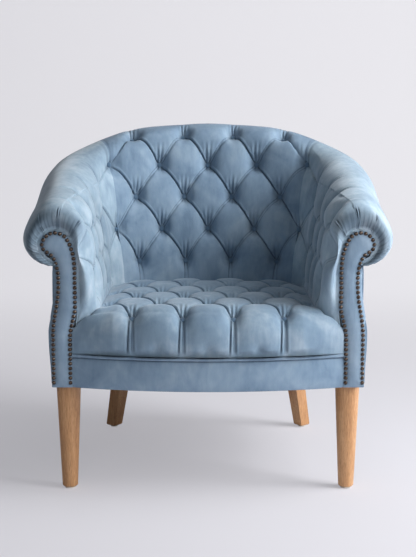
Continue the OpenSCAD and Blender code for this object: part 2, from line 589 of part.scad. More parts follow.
// corner rail: three bars that fall round the corner from the top rail to the arm rail
module bar_to(p, q) {
    d = q - p;
    translate(p) rotate([0, 0, atan2(d[1], d[0])]) rotate([0, -asin(d[2] / norm(d)), 0])
        translate([-4, -12, -12]) cube([norm(d) + 8, 24, 24]);
}
function corner_pt(g) =
    let (z1 = rim_z(rail_y1) + (rail_y2 - rail_y1) * tan(rail_a), z2 = top_z + 13, r = corner_r - 10 - head_x)
    [corner_c[0] + r * cos(g), corner_c[1] + r * sin(g), z1 + (z2 - z1) * g / (90 - wall_a)];
module corner_rail() difference() {
    union() {
        for (i = [0:2]) bar_to(corner_pt((90 - wall_a) * i / 3), corner_pt((90 - wall_a) * (i + 1) / 3));
    }
    translate([wall_x - 150, corner_c[1] - 99.9, leg_h]) cube([200, 100, back_h]);
    translate([wall_c[0], wall_c[1], leg_h]) rotate([0, 0, 90 - wall_a])
        translate([300, -0.1, 0]) cube([400, 100, back_h]);
}
module corner_rail_right() color("#c9a77c") corner_rail();
module corner_rail_left() color("#c9a77c") mirror([1, 0, 0]) corner_rail();

module arm_tack_rail() {
    y1 = wood_y + post_t + 0.1;
    translate([seat_w / 2 + core_in + gap, y1, tack_z]) cube([tack_t, corner_c[1] - y1, tack_h]);
}
module arm_tack_rail_right() color("#c9a77c") arm_tack_rail();
module arm_tack_rail_left() color("#c9a77c") mirror([1, 0, 0]) arm_tack_rail();
seat_c = [0, plan_cy(seat_plan)];
tack_r = seat_plan[2] + core_in + 2 * gap;
module back_tack_rail() color("#c9a77c") sector(seat_c, tack_r, tack_r + tack_t, tack_z, tack_h, 78, 102);
// upright ribs of the back: inner edge behind the tack rail, then leaning to the top rail
function tack_at(g) =
    let (k = wall_c[1] - seat_c[1], r = tack_r + tack_t + 0.7, c = k * cos(g))
    -c + sqrt(c * c - k * k + r * r);
module rib(g) {
    rotate_about(g) rotate([90, 0, 0]) translate([0, 0, -9]) linear_extrude(18)
        polygon([[back_r - rail_out - 0.2, rail_z], [back_r - rail_out - 0.2, top_z], [top_r - 15, top_z],
            [tack_at(g), tack_z + tack_h + 30], [tack_at(g), tack_z - 10],
            [back_r - rail_out - rail_t, rail_z]]);
}
module rotate_about(g) {
    translate([wall_c[0], wall_c[1], 0]) rotate([0, 0, 90 - g]) children();
}
module back_rib_left() color("#c9a77c") rib(-16);
module back_rib_mid_left() color("#c9a77c") rib(-6);
module back_rib_mid_right() color("#c9a77c") rib(6);
module back_rib_right() color("#c9a77c") rib(16);
module back_webbing() color("#b9ab90") {
    for (g = [-11, 0, 11]) {
        t = tack_at(g) + 0.2;
        rotate_about(g) rotate([90, 0, 0]) translate([0, 0, -20]) linear_extrude(40)
            polygon([[t + 0.6, tack_z + 4], [t + 0.6, tack_z + tack_h], [top_r - 17.6, top_z + 20],
                [top_r - 15.6, top_z + 20], [t + 2.6, tack_z + tack_h], [t + 2.6, tack_z + 4]]);
    }
}

module seat_webbing_long() color("#b9ab90") {
    for (i = [-2:2]) {
        x = i * seat_w * 0.2;
        y1 = bow_y(x) + 16;
        y2 = plan_cy(wall_plan) + sqrt(pow(back_r - rail_out - rail_t / 2, 2) - x * x);
        translate([x - 25, y1, rail_z]) cube([50, y2 - y1, 1.6]);
    }
}
module seat_webbing_cross() color("#b9ab90") {
    for (i = [0:3])
        translate([20 - wall_x, front_y + seat_d * (0.23 + 0.227 * i) - 25, rail_z + 1.8])
            cube([2 * wall_x - 40, 50, 1.6]);
}
module seat_deck() color("#8f8a80") {
    n = 24;
    xs = seat_w / 2 - 4;
    half = [for (i = [0:n]) let (x = xs * sin(90 * i / n)) [x, seat_back(x) - 4]];
    front = [for (i = [0:12]) let (x = xs * (1 - i / 12)) [x, bow_y(x) + 12]];
    side = concat(half, front);
    translate([0, 0, rail_z + 3.6]) linear_extrude(seat_low - rail_z - 3.8)
        polygon(concat(side, [for (i = [len(side) - 1:-1:0]) [-side[i][0], side[i][1]]]));
}
module dust_cover() color("#3c3c3e") difference() {
    n = 20;
    p = [wall_x - 9, corner_r - 9, back_r - 9, wall_back - 9];
    back = [for (i = [0:n]) plan_at(p, plan_l2(p) * i / n)];
    front = [for (i = [0:12]) let (x = bow_half * (1 - i / 12)) [x, bow_y(x) + 10]];
    side = concat(back, [[wall_x - 9, front_y + 12], [bow_half + 1, front_y + 12]], front);
    translate([0, 0, leg_h - 1.6]) linear_extrude(1.4)
        polygon(concat(side, [for (i = [len(side) - 2:-1:1]) [-side[i][0], side[i][1]]]));
    for (m = [0, 1]) mirror([m, 0, 0]) {
        translate([front_leg_x, front_leg_y, leg_h - 3]) cylinder(h = 5, d = leg_top + 0.6);
        w = rear_top + 1.4;
        translate([rear_leg_x, rear_leg_y, leg_h - 3]) rotate([0, 0, 40]) translate([-w / 2, -w / 2, 0])
            cube([w, w, 5]);
    }
}

module front_leg() difference() {
    union() {
        translate([front_leg_x, front_leg_y, glide_h]) cylinder(h = 3, d1 = leg_foot - 5, d2 = leg_foot);
        translate([front_leg_x, front_leg_y, glide_h + 3])
            cylinder(h = leg_h - glide_h - 3, d1 = leg_foot, d2 = leg_top);
    }
    translate([front_leg_x, front_leg_y, leg_h - 42]) cylinder(h = 50, r = 4.2);
}
module front_leg_right() color("#cfae86") front_leg();
module front_leg_left() color("#cfae86") mirror([1, 0, 0]) front_leg();
// rear leg: a square taper that splays outwards and backwards, its foot cut level
function leg_ring(z, w) =
    let (t = (leg_h - z) / leg_h, o = [rear_leg_x + splay * t, rear_leg_y + splay * 1.1 * t])
    [for (k = [0:3]) let (g = 85 + 90 * k) [o[0] + w / sqrt(2) * cos(g), o[1] + w / sqrt(2) * sin(g), z]];
module rear_leg() {
    difference() {
        polyhedron(
            points = concat(leg_ring(glide_h, rear_foot - 5), leg_ring(glide_h + 3, rear_foot),
                leg_ring(leg_h, rear_top)),
            faces = [[0, 1, 2, 3], [11, 10, 9, 8], [0, 4, 5, 1], [1, 5, 6, 2], [2, 6, 7, 3], [3, 7, 4, 0],
                [4, 8, 9, 5], [5, 9, 10, 6], [6, 10, 11, 7], [7, 11, 8, 4]]
        );
        translate([rear_leg_x, rear_leg_y, leg_h - 42]) cylinder(h = 50, r = 4.2);
    }
}
module rear_leg_right() color("#cfae86") rear_leg();
module rear_leg_left() color("#cfae86") mirror([1, 0, 0]) rear_leg();
module hanger_bolts() color("#9a9da1") {
    for (m = [0, 1]) mirror([m, 0, 0]) {
        translate([front_leg_x, front_leg_y, leg_h - 40]) cylinder(h = 84, r = 4);
        translate([rear_leg_x, rear_leg_y, leg_h - 40]) cylinder(h = 84, r = 4);
    }
}
module leg_glides() color("#d8d5cd") {
    for (m = [0, 1]) mirror([m, 0, 0]) {
        translate([front_leg_x, front_leg_y, 0]) cylinder(h = glide_h, r = 12);
        t = 1 - glide_h / leg_h;
        translate([rear_leg_x + splay * t, rear_leg_y + splay * 1.1 * t, 0]) cylinder(h = glide_h, r = 10);
    }
}

front_rail();
side_rail_left();
side_rail_right();
back_rail();
front_block_left();
front_block_right();
rear_block_left();
rear_block_right();
arm_post_left();
arm_post_right();
rear_arm_post_left();
rear_arm_post_right();
back_rib_left();
back_rib_mid_left();
back_rib_mid_right();
back_rib_right();
arm_rail_left();
arm_rail_right();
corner_rail_left();
corner_rail_right();
top_rail();
arm_tack_rail_left();
arm_tack_rail_right();
back_tack_rail();
seat_webbing_long();
seat_webbing_cross();
back_webbing();
seat_deck();
seat_pad();
inside_back();
inside_arm_left();
inside_arm_right();
seat_buttons();
back_buttons();
arm_buttons_left();
arm_buttons_right();
facing_left();
facing_right();
facing_nails_left();
facing_nails_right();
outside_arm_left();
outside_arm_right();
outside_back();
front_border();
front_welt();
dust_cover();
front_leg_left();
front_leg_right();
rear_leg_left();
rear_leg_right();
hanger_bolts();
leg_glides();
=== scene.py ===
import math
import bmesh
import bpy
import numpy as np
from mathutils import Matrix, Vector
from mathutils.geometry import delaunay_2d_cdt


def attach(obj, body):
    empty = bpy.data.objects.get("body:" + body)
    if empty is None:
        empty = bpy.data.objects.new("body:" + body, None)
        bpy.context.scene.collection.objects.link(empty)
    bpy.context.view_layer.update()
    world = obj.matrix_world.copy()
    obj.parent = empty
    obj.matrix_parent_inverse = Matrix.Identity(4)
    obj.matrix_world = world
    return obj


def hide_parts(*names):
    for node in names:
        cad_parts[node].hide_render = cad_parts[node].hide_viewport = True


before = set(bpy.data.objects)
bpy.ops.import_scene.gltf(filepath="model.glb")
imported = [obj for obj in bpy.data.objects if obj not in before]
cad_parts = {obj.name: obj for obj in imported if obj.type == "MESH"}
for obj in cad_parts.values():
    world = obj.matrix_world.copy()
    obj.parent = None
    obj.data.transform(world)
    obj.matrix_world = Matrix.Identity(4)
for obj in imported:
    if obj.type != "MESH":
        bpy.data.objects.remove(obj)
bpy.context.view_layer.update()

# Sizes are in millimetres here, as on the drawing, and turned to metres where a mesh is made.
chair = {
    "bodyWidth": 716, "bodyDepth": 650, "backHeight": 844, "armHeight": 672, "legHeight": 250,
    "seatHeight": 430, "seatWidth": 496, "seatDepth": 485, "seatRound": 60, "seatOut": 16, "seatGap": 115.02,
    "cornerRadius": 210, "backRadius": 600, "frontBow": 48, "armRoll": 72, "backRoll": 62, "rollInset": 10,
    "puff": 11, "rowGap": 87, "firstRow": 57, "topDrop": 14, "railHeight": 69, "padRise": 11, "gap": 0.3,
    "coreInset": 49.5, "lip": 6, "flare": 13, "frontEase": 55, "endBulge": 12, "rollSag": 12,
    "headRadius": 35, "headDrop": 23, "headInset": 3, "neckHeight": 515,
    "facingThickness": 12, "facingAhead": 3, "nailDiameter": 9, "nailGap": 11,
}
gap = chair["gap"]
rowGap = chair["rowGap"]
firstRow = chair["firstRow"]
seatHeight = chair["seatHeight"]
coreInset = chair["coreInset"]
headRadius = chair["headRadius"]
headDrop = chair["headDrop"]
headInset = chair["headInset"]
neckHeight = chair["neckHeight"]
rollInset = chair["rollInset"]
lip = chair["lip"]
frontBow = chair["frontBow"]
# button spacings from the middle of the back to the seam and to the end of an arm
seamCount = 2.0
lastCount = 6.0
halfSeat = chair["seatWidth"] / 2
halfBody = chair["bodyWidth"] / 2
seatAhead = frontBow + chair["seatOut"]
frontY = seatAhead - (chair["bodyDepth"] + seatAhead + chair["backRoll"] - rollInset) / 2
backY = frontY + chair["bodyDepth"]
railTop = chair["legHeight"] + chair["railHeight"]
padLow = railTop + chair["padRise"]
seatLow = padLow + 0.5
bowHalf = halfSeat + coreInset + chair["flare"]
bowRadius = (bowHalf ** 2 + frontBow ** 2) / (2 * frontBow)
bowCentre = frontY - frontBow + bowRadius
facingY = frontY - chair["facingAhead"]


def smooth(t):
    t = np.clip(t, 0, 1)
    return t * t * (3 - 2 * t)


def bell(x, width):
    return np.exp(-(x / width) ** 2)


def mix(a, b, share):
    return a * (1 - share) + b * share


def nearest(t):
    return t - np.round(t)


# plan curves: half width, corner radius, back radius and back position
def makePlan(half, corner, back, rear):
    angle = math.asin((half - corner) / (back - corner))
    plan = {"half": half, "corner": corner, "back": back, "angle": angle}
    plan["cy"] = rear - back
    plan["xc"] = half - corner
    plan["yc"] = plan["cy"] + (back - corner) * math.cos(angle)
    plan["l1"] = back * angle
    plan["l2"] = plan["l1"] + corner * (math.pi / 2 - angle)
    plan["length"] = plan["l2"] + plan["yc"] - frontY
    return plan


def planAt(plan, length):
    far = np.abs(length)
    g1 = far / plan["back"]
    g2 = plan["angle"] + (far - plan["l1"]) / plan["corner"]
    x = np.where(far < plan["l1"], plan["back"] * np.sin(g1),
                 np.where(far < plan["l2"], plan["xc"] + plan["corner"] * np.sin(g2), plan["half"]))
    y = np.where(far < plan["l1"], plan["cy"] + plan["back"] * np.cos(g1),
                 np.where(far < plan["l2"], plan["yc"] + plan["corner"] * np.cos(g2),
                          plan["yc"] - (far - plan["l2"])))
    return np.stack([np.where(length < 0, -x, x), y], -1)


topPlan = makePlan(halfBody - rollInset, chair["cornerRadius"] - rollInset, chair["backRadius"] - rollInset,
                   backY - rollInset)
seatPlan = makePlan(halfSeat, 100, 700, frontY + chair["seatDepth"])
wallPlan = makePlan(halfBody, chair["cornerRadius"], chair["backRadius"], backY)


def ease(t, a, b, ma, mb):
    return ((2 * t ** 3 - 3 * t ** 2 + 1) * a + (t ** 3 - 2 * t ** 2 + t) * ma
            + (3 * t ** 2 - 2 * t ** 3) * b + (t ** 3 - t ** 2) * mb)


# length along a plan curve for a count of button spacings from the middle of the back
def along(plan, count, u, v, f):
    s = np.abs(count)
    a = u * plan["l1"]
    b = plan["l2"] + v
    c = plan["length"]
    w = lastCount - 2.5
    m = a + (b - a) * f
    out = np.where(s < 1.5, ease(s / 1.5, 0, a, a, a * 1.08),
                   np.where(s < 2, ease(2 * s - 3, a, m, a * 0.36, (b - a) * 0.48),
                            np.where(s < 2.5, ease(2 * s - 4, m, b, (b - a) * 0.48, (b - a) * 0.4),
                                     ease((s - 2.5) / w, b, c, (b - a) * 0.8 * w, (c - b) * 0.93))))
    return np.sign(count) * out


def topLength(s):
    return along(topPlan, s, 0.94, 15, 0.36)


def seatLength(s):
    return along(seatPlan, s, 1.02, -9, 0.43)


# fall of the roll from the middle of the back to the end of an arm; lengths are shares of the rim
rim = {
    "shoulder": 0.4, "elbow": 0.604, "shoulderDrop": 65, "elbowDrop": 109, "armDrop": 190,
    "hump": 9, "humpAt": 215, "humpWidth": 95,
}


def rollHeight(s):
    c = topPlan["length"]
    a, b = rim["shoulder"] * c, rim["elbow"] * c
    p, q, e = rim["shoulderDrop"], rim["elbowDrop"], rim["armDrop"]
    l = np.abs(topLength(s))
    top = chair["backHeight"] - chair["backRoll"]
    drop = np.where(l < a, ease(l / a, 0, p, 0, 102),
                    np.where(l < b, ease((l - a) / (b - a), p, q, 52, 36),
                             ease((l - b) / (c - b), q, e, 70, 87)))
    drop = drop * (top - chair["armHeight"] + chair["armRoll"]) / e
    return top - drop + rim["hump"] * bell(l - rim["humpAt"], rim["humpWidth"])


def rollRadius(s):
    return mix(chair["backRoll"], chair["armRoll"], smooth((np.abs(s) - 1) / 2.5))


# the section of an upright cushion: up a lean from the seat, then round the roll
def lean(cx, cz, r, x0):
    dx, dz = cx - x0, cz - seatHeight
    d = np.hypot(dx, dz)
    return np.arctan2(dz, dx) + np.arcsin(r / d), np.sqrt(d * d - r * r)


def section(cx, cz, r, x0, v):
    a, l = lean(cx, cz, r, x0)
    g = a + np.pi / 2 - (v - l) / r
    low, flat = v < 0, v < l
    x = np.where(low, x0, np.where(flat, x0 + v * np.cos(a), cx + r * np.cos(g)))
    z = np.where(low, seatHeight + v, np.where(flat, seatHeight + v * np.sin(a), cz + r * np.sin(g)))
    nx = np.where(low, -1.0, np.where(flat, -np.sin(a), np.cos(g)))
    nz = np.where(low, 0.0, np.where(flat, np.cos(a), np.sin(g)))
    return x, z, nx, nz


def roundLength(cx, cz, r, x0, low):
    a, l = lean(cx, cz, r, x0)
    return l + r * (a + np.pi / 2 + math.radians(low))


def reach(s):
    return np.linalg.norm(planAt(topPlan, topLength(s)) - planAt(seatPlan, seatLength(s)), axis=-1)


def sectionEnd(s):
    return roundLength(reach(s), rollHeight(s), rollRadius(s), 0, 80)


def place(s, px, pz):
    a = planAt(seatPlan, seatLength(s))
    b = planAt(topPlan, topLength(s))
    e = (b - a) / np.linalg.norm(b - a, axis=-1, keepdims=True)
    return np.stack([a[..., 0] + e[..., 0] * px, a[..., 1] + e[..., 1] * px, pz + 0 * px], -1)


def lowFlare(v):
    return np.where(v < 0, chair["flare"] * np.minimum(1, -v / 55), 0)


# the inner edge of a facing stands straighter than the lean of the arm
def endSwell(z):
    return 7 * np.clip((z - seatHeight) / 85, 0, 1) * (1 - smooth((z - neckHeight) / 75))


# 0 along the arm, rising to 1 where its front end meets the facing
def endBlend(s, power=2.0):
    y = planAt(seatPlan, seatLength(np.abs(s)))[..., 1]
    q = np.clip(1 - (y - frontY) / chair["frontEase"], 0, 1)
    return 1 - (1 - q ** power) ** (1 / power)


headX = float(reach(np.array(lastCount))) - headInset
headZ = chair["armHeight"] - chair["armRoll"] - headDrop


# deep buttoning: a lattice of buttons on half and whole counts in turn
tufting = {
    "width": 125, "flatness": 0.28, "pillow": 1.1, "pillowDrop": 0.3, "arch": 0.045, "archTop": 0.11,
    "foldDepth": 4.0, "foldWidth": 1.15, "foldLip": 1.6, "pairGap": 2.9,
    "pitDepth": 24, "armPitMore": 11, "pitTight": 700, "armTightLess": 480,
    "gather": 1.9, "gatherUp": 60, "gatherDown": 26,
    "rollPleat": 3.4, "backPleatLength": 34, "armPleatLength": 120, "valley": 11, "cornerFold": 4,
    # dimple, dimpleWidth and the next key set painted shade in the arms' dimples and on the top of the back's roll
    "dimple": 0.8, "dimpleWidth": 34, "rollTopShade": 0.2,
}


# row of the highest buttons: the fifth on the back, the third on the arms
def topRow(s):
    return np.where(s < 1.5, 4.0, np.where(s < 2.5, 4 - 2 * (s - 1.5), 2.0))


# soft wandering value between -1 and 1, the same on every run
def wander(x, y, seed):
    total = 0
    for i in range(5):
        turn = seed + i * 2.4
        path = x * math.cos(turn) + y * math.sin(turn)
        total = total + np.sin(1.7 ** i * path + seed * 3.1 + i) / (1 + 0.6 * i)
    return total / 2.6


# gathers that stand above and below a button: fine parallel folds that fan a little
def gathers(dx, dy, home):
    rho = np.hypot(dx, dy) + 1e-6
    spread = 6.4 + 0.12 * rho
    lines = np.cos(2 * np.pi * dx / spread + home) + 0.5 * np.cos(2 * np.pi * dx / (spread * 1.7) + home * 2)
    up = smooth((dy - 5) / 8) * (1 - smooth((dy - 8) / (tufting["gatherUp"] - 8)))
    down = 0.6 * smooth((-dy - 5) / 8) * (1 - smooth((-dy - 8) / (tufting["gatherDown"] - 8)))
    return lines * bell(dx, 7 + 0.25 * rho) * (up + down)


# diagonal counts of the lattice: a button sits where both are whole, a crease runs where one is
def diagonals(s, w):
    return s - 0.5 + w / 2, s - 0.5 - w / 2


def creaseSpacing(wide, tall):
    return wide * tall / math.hypot(wide / 2, tall)


# 1 at a button, falling to 0 round it
def pitAt(s, w, tight):
    a, b = diagonals(s, w)
    return 1 / (1 + tight * (nearest(a) ** 2 + nearest(b) ** 2) ** 2)


def pillowHeight(pillow, pit, puff, deep):
    return puff * (tufting["pillow"] * pillow - tufting["pillowDrop"]) - (deep - puff * 0.35) * pit


# height over the plain face and painted shade, 0 to 1; wide and tall are the real spacings
def buttoned(s, w, wide, tall, puff, arch, deep, tight):
    t = tufting
    a, b = diagonals(s, w)
    sa, sb = np.sin(np.pi * a) ** 2, np.sin(np.pi * b) ** 2
    lifted = w - arch * (sa + sb - sa * sb)
    a, b = diagonals(s, lifted)
    da, db = nearest(a), nearest(b)
    pillow = np.abs(np.sin(np.pi * a) * np.sin(np.pi * b)) ** t["flatness"]
    xa, xb = da * creaseSpacing(wide, tall), db * creaseSpacing(wide, tall)
    dx, dy = (da + db) / 2 * wide, (da - db) * tall
    rho = np.hypot(dx, dy) + 1e-6
    away = smooth((rho - 4) / 8)
    # one way each crease is a single fold with a lip, the other way a pair of thinner ones
    lineA = bell(xa, t["foldWidth"])
    thin = t["foldWidth"] * 0.75
    lineB = 0.62 * (bell(xb - t["pairGap"], thin) + bell(xb + t["pairGap"], thin))
    fold = (-t["foldDepth"] * lineA + t["foldLip"] * bell(xa - 4.2, 2.0)
            - 0.8 * t["foldDepth"] * lineB + 0.5 * t["foldLip"] * bell(xb, 1.5)) * away
    drawn = gathers(dx, dy, np.round(a) * 3.7 + np.round(b) * 8.3)
    height = pillowHeight(pillow, pitAt(s, lifted, tight), puff, deep) + fold + t["gather"] * drawn
    # painted shade: dark along the creases and round each button, lighter on the gathers' ridges
    dark = (np.maximum(0.85 * lineA, lineB * 1.2) * away + 0.8 * bell(rho, 7) + 0.3 * bell(rho, 17)
            - 0.35 * drawn * smooth((rho - 5) / 5))
    return height, np.clip(dark, 0, 1)


def topDrop(s):
    return chair["topDrop"] * smooth((s - 2.4) / 0.8)


# count of rows up the face; the highest row on the arms sits a little lower
def rowCount(s, v):
    return (v + topDrop(s) * smooth((v - firstRow - rowGap) / 60) - firstRow) / rowGap


# distance between two buttons over the roll
def spacing(s):
    return np.where(s < 1.6, 142, 116)


# below the lowest buttons: loaves, with a pair of pleats that fall from each button, and painted shade in the pleats
# and round the button
def lowRelief(xs, w, v, loaf, pit, deep):
    up = w * rowGap
    far = np.clip(-up, 0, None)
    left, right = bell(xs + 3.0 + 0.03 * far, 1.6), bell(xs - 3.4 - 0.08 * far, 1.9)
    height = pillowHeight(loaf, pit, chair["puff"], deep) - 3.2 * left - 2.2 * right
    height = height + tufting["gather"] * gathers(xs, up, 0)
    dark = np.clip(0.8 * left + 0.5 * right, 0, 1) + 0.9 * bell(np.hypot(xs, up), 7)
    return height * np.clip(v / firstRow, 0, 1) ** 0.7, dark


# above the highest buttons: loaves over the roll, a pair of pleats at each button, and on the arms a broad valley;
# painted shade in the pleats, round the button and faintly in the valley
def rollRelief(count, xs, up, loaf, pit, deep, fade):
    t = tufting
    s = np.abs(count)
    over = up / rowGap
    onArm = smooth((s - 2.2) / 0.4)
    alongArm = 1 - smooth((s - 4.8) / 0.3)
    # between the back and an arm the loaves stand half as wide apart
    corner = (s > 1.5) & (s < 2.5)
    narrow = np.abs(np.sin(2 * np.pi * (s - 1.5))) ** 0.6 * np.minimum(1, np.sqrt(over * 1.5))
    swell = np.where(corner, narrow, loaf)
    cx = np.where(corner, (s - seamCount) * spacing(s) * np.sign(count), 1e3)
    cx = np.where(np.abs(cx) < np.abs(xs), cx, xs)
    long = np.where(s < 1.5, t["backPleatLength"], t["armPleatLength"])
    run = (0.45 + 0.55 * bell(up, 60)) * (1 - smooth((up - long * 0.55) / (long * 0.45)))
    run = run * alongArm * (0.65 + 0.35 * onArm)
    pair = run * (bell(cx - 2.4 - 0.02 * up, 1.6) + 0.7 * bell(cx + 2.8 + 0.03 * up, 1.6))
    valley = t["valley"] * bell(cx, 15) * bell(up - 14, 42) * smooth(up / 16) * onArm * alongArm
    height = (fade * pillowHeight(swell, np.where(over < 0.6, pit, 0), chair["puff"], deep) - valley
              - t["rollPleat"] * pair * smooth(up / 8) + t["gather"] * gathers(cx, up, 0) * (up > 0))
    return height, np.clip(pair, 0, 1) + 0.9 * bell(np.hypot(cx, up), 7) + 0.05 * valley


# height and painted shade on the back and arms
def wallRelief(count, v):
    t = tufting
    s = np.abs(count)
    w = rowCount(s, v)
    over = w - topRow(s)
    up = np.clip(over, 0, None) * rowGap
    onArm = smooth((s - 2.2) / 0.4)
    deep = t["pitDepth"] + t["armPitMore"] * onArm
    tight = t["pitTight"] - t["armTightLess"] * onArm
    arch = mix(t["arch"], t["archTop"], smooth(over + 1))
    grid, gridShade = buttoned(count, w, t["width"], rowGap, chair["puff"], arch, deep, tight)
    loaf = np.abs(np.sin(np.pi * (s - 0.5))) ** (2 * t["flatness"])
    pit = pitAt(s, w, tight)
    xs = nearest(count - 0.5) * spacing(s)
    fade = np.where(over > 0, np.clip(1 - over / (0.9 + 0.6 * np.clip(s - 1.5, 0, 1)), 0, 1) ** 2, 1)
    low, lowShade = lowRelief(xs, w, v, loaf, pit, deep)
    high, highShade = rollRelief(count, xs, up, loaf, pit, deep, fade)
    height = np.where(w < 0, low, np.where(over <= 0, grid, high))
    dark = np.where(w < 0, lowShade, np.where(over <= 0, gridShade, highShade))
    # the seam between back and arm lies shallower
    shallow = 1 - (0.75 - 0.1 * np.clip(w, 0, 3)) * bell(s - seamCount, 0.25)
    height = np.where(height < 0, height * shallow, height)
    # painted shade in the broad dimples of the arms, and on the top of the back's roll
    a, b = diagonals(s, w)
    toButton = 62 * np.sqrt((nearest(a) ** 2 + nearest(b) ** 2) * 2)
    dimple = onArm * bell(toButton, t["dimpleWidth"]) * (w > -0.4) * (1 - smooth(over / 0.5))
    dark = dark + t["dimple"] * dimple * (1 - smooth((s - 4.7) / 0.3))
    dark = dark + t["rollTopShade"] * (1 - onArm) * smooth((up - 20) / 60)
    # soft fold where the back turns into an arm
    turn = np.clip(1 - np.abs(s - seamCount) * 130 / 40, 0, 1) ** 2 * fade * np.clip(v / firstRow, 0, 1)
    return height - t["cornerFold"] * turn, np.clip(dark, 0, 1)


# the padding hangs a little under the outer side of an arm's roll
def sag(s, v, cx, cz, r):
    t = smooth((s - 2.5) / 2)
    a, l = lean(cx, cz, r, 0)
    g = np.minimum(a + np.pi / 2 - (v - l) / r, np.pi / 2)
    return np.where(v < l, 0, -chair["rollSag"] * t * np.sin(2 * g) * np.cos(g))


# the arm's end, drawn in round the facing: places of its folds as shares of the way round the roll, and how much
# painted shade lies on its front curl
armEnd = {"folds": (0.1, 0.29, 0.47, 0.78), "foldDepth": 2.6, "crimp": 0.6, "shade": 0.75}


# how far the gathers of the arm's end stand out, and the painted shade in their folds, in the crimp hollows and on the
# front curl
def endGathers(v, straight, end, k):
    span = np.clip((v - straight) / (end - straight), 0, 1)
    fine = np.sin(v / 2.2 + 2 * np.sin(v / 17)) + 0.6 * np.sin(v / 1.3 + 1.4 * np.sin(v / 23))
    atFacing = smooth((k - 0.9) / 0.1)
    drawn = smooth((k - 0.14) / 0.14) * (1 - 0.3 * atFacing) * smooth((v - straight * 0.9) / 30)
    crimp = armEnd["crimp"] * fine * (0.2 + 0.8 * smooth(span * 3 - 1.2))
    dark = -np.clip(fine, -1, 0) * 0.25 * smooth((k - 0.15) / 0.4)
    for at in armEnd["folds"]:
        d = (span - at) * (end - straight) * 0.75
        pair = bell(d - 2.3, 1.1) + bell(d + 2.3, 1.1)
        crimp = crimp - armEnd["foldDepth"] * pair + 1.4 * bell(d, 1.2)
        dark = dark + 0.8 * pair
    shade = armEnd["shade"] * smooth((k - 0.1) / 0.3) * (1 - atFacing) * smooth((v - straight) / 40)
    return crimp * drawn, np.clip(dark, 0, 1) * drawn + shade


# point of the velvet and its painted shade, for a count along the rim and a height up the face
def facePoint(s, v):
    t = np.abs(s)
    cx, cz, r = reach(t), rollHeight(t), rollRadius(t)
    k = endBlend(t, 2 + 0.9 * smooth((v - 10) / 70))
    relief, dark = wallRelief(s, v)
    h = np.where(v <= 0, 0, relief + sag(t, v, cx, cz, r)) * (1 - k)
    x, z, nx, nz = section(cx, cz, r, 0, v)
    x, z = x + nx * h, z + nz * h
    # the facing's edge, which the end of the arm runs into
    fr, fx = headRadius + lip, coreInset - lip
    last = np.array(lastCount)
    straight = lean(reach(last), rollHeight(last), chair["armRoll"], 0)[1]
    end = sectionEnd(last)
    headStraight = lean(headX, headZ, fr, fx)[1]
    headEnd = roundLength(headX, headZ, fr, fx, 86)
    over = headStraight + (v - straight) * (headEnd - headStraight) / (end - straight)
    headV = np.where(v < 0, v, np.where(v < straight, v * headStraight / straight, over))
    qx, qz, qnx, qnz = section(headX, headZ, fr, fx, headV)
    qx = qx + lowFlare(v) - endSwell(qz)
    crimp, pleatShade = endGathers(v, straight, end, k)
    dark = np.clip(np.maximum(np.where(v > 0, dark, 0) * (1 - k), pleatShade), 0, 1)
    p = place(s, mix(x, qx, k) + mix(nx, qnx, k) * crimp, mix(z, qz, k) + mix(nz, qnz, k) * crimp)
    bulge = np.sin(np.pi * np.clip((k - 0.08) / 0.92, 0, 1)) * smooth((v + 10) / 70)
    p[..., 1] -= chair["endBulge"] * bulge
    return p, dark


coreRadius = (headRadius + gap) / math.cos(math.radians(24.5))


# point of a pad's hollow side, which lies on the frame: the first two steps are the straight foot
def corePoint(s, i, steps):
    t = np.abs(s)
    atEnd = smooth((t - lastCount + 0.2) / 0.2)
    r = mix(coreRadius, headRadius - 1, atEnd)
    cx, cz = reach(t) - headInset, rollHeight(t) - headDrop
    a, l = lean(cx, cz, r, coreInset)
    full = l + r * (a + np.pi / 2 + np.radians(58 + 26 * atEnd))
    v = np.where(i < 2, (padLow - seatHeight) * (1 - i), l + (full - l) * (i - 2) / (steps - 2))
    x, z, _, _ = section(cx, cz, r, coreInset, v)
    return place(s, x + lowFlare(v) * endBlend(t) - endSwell(z) * atEnd, z)


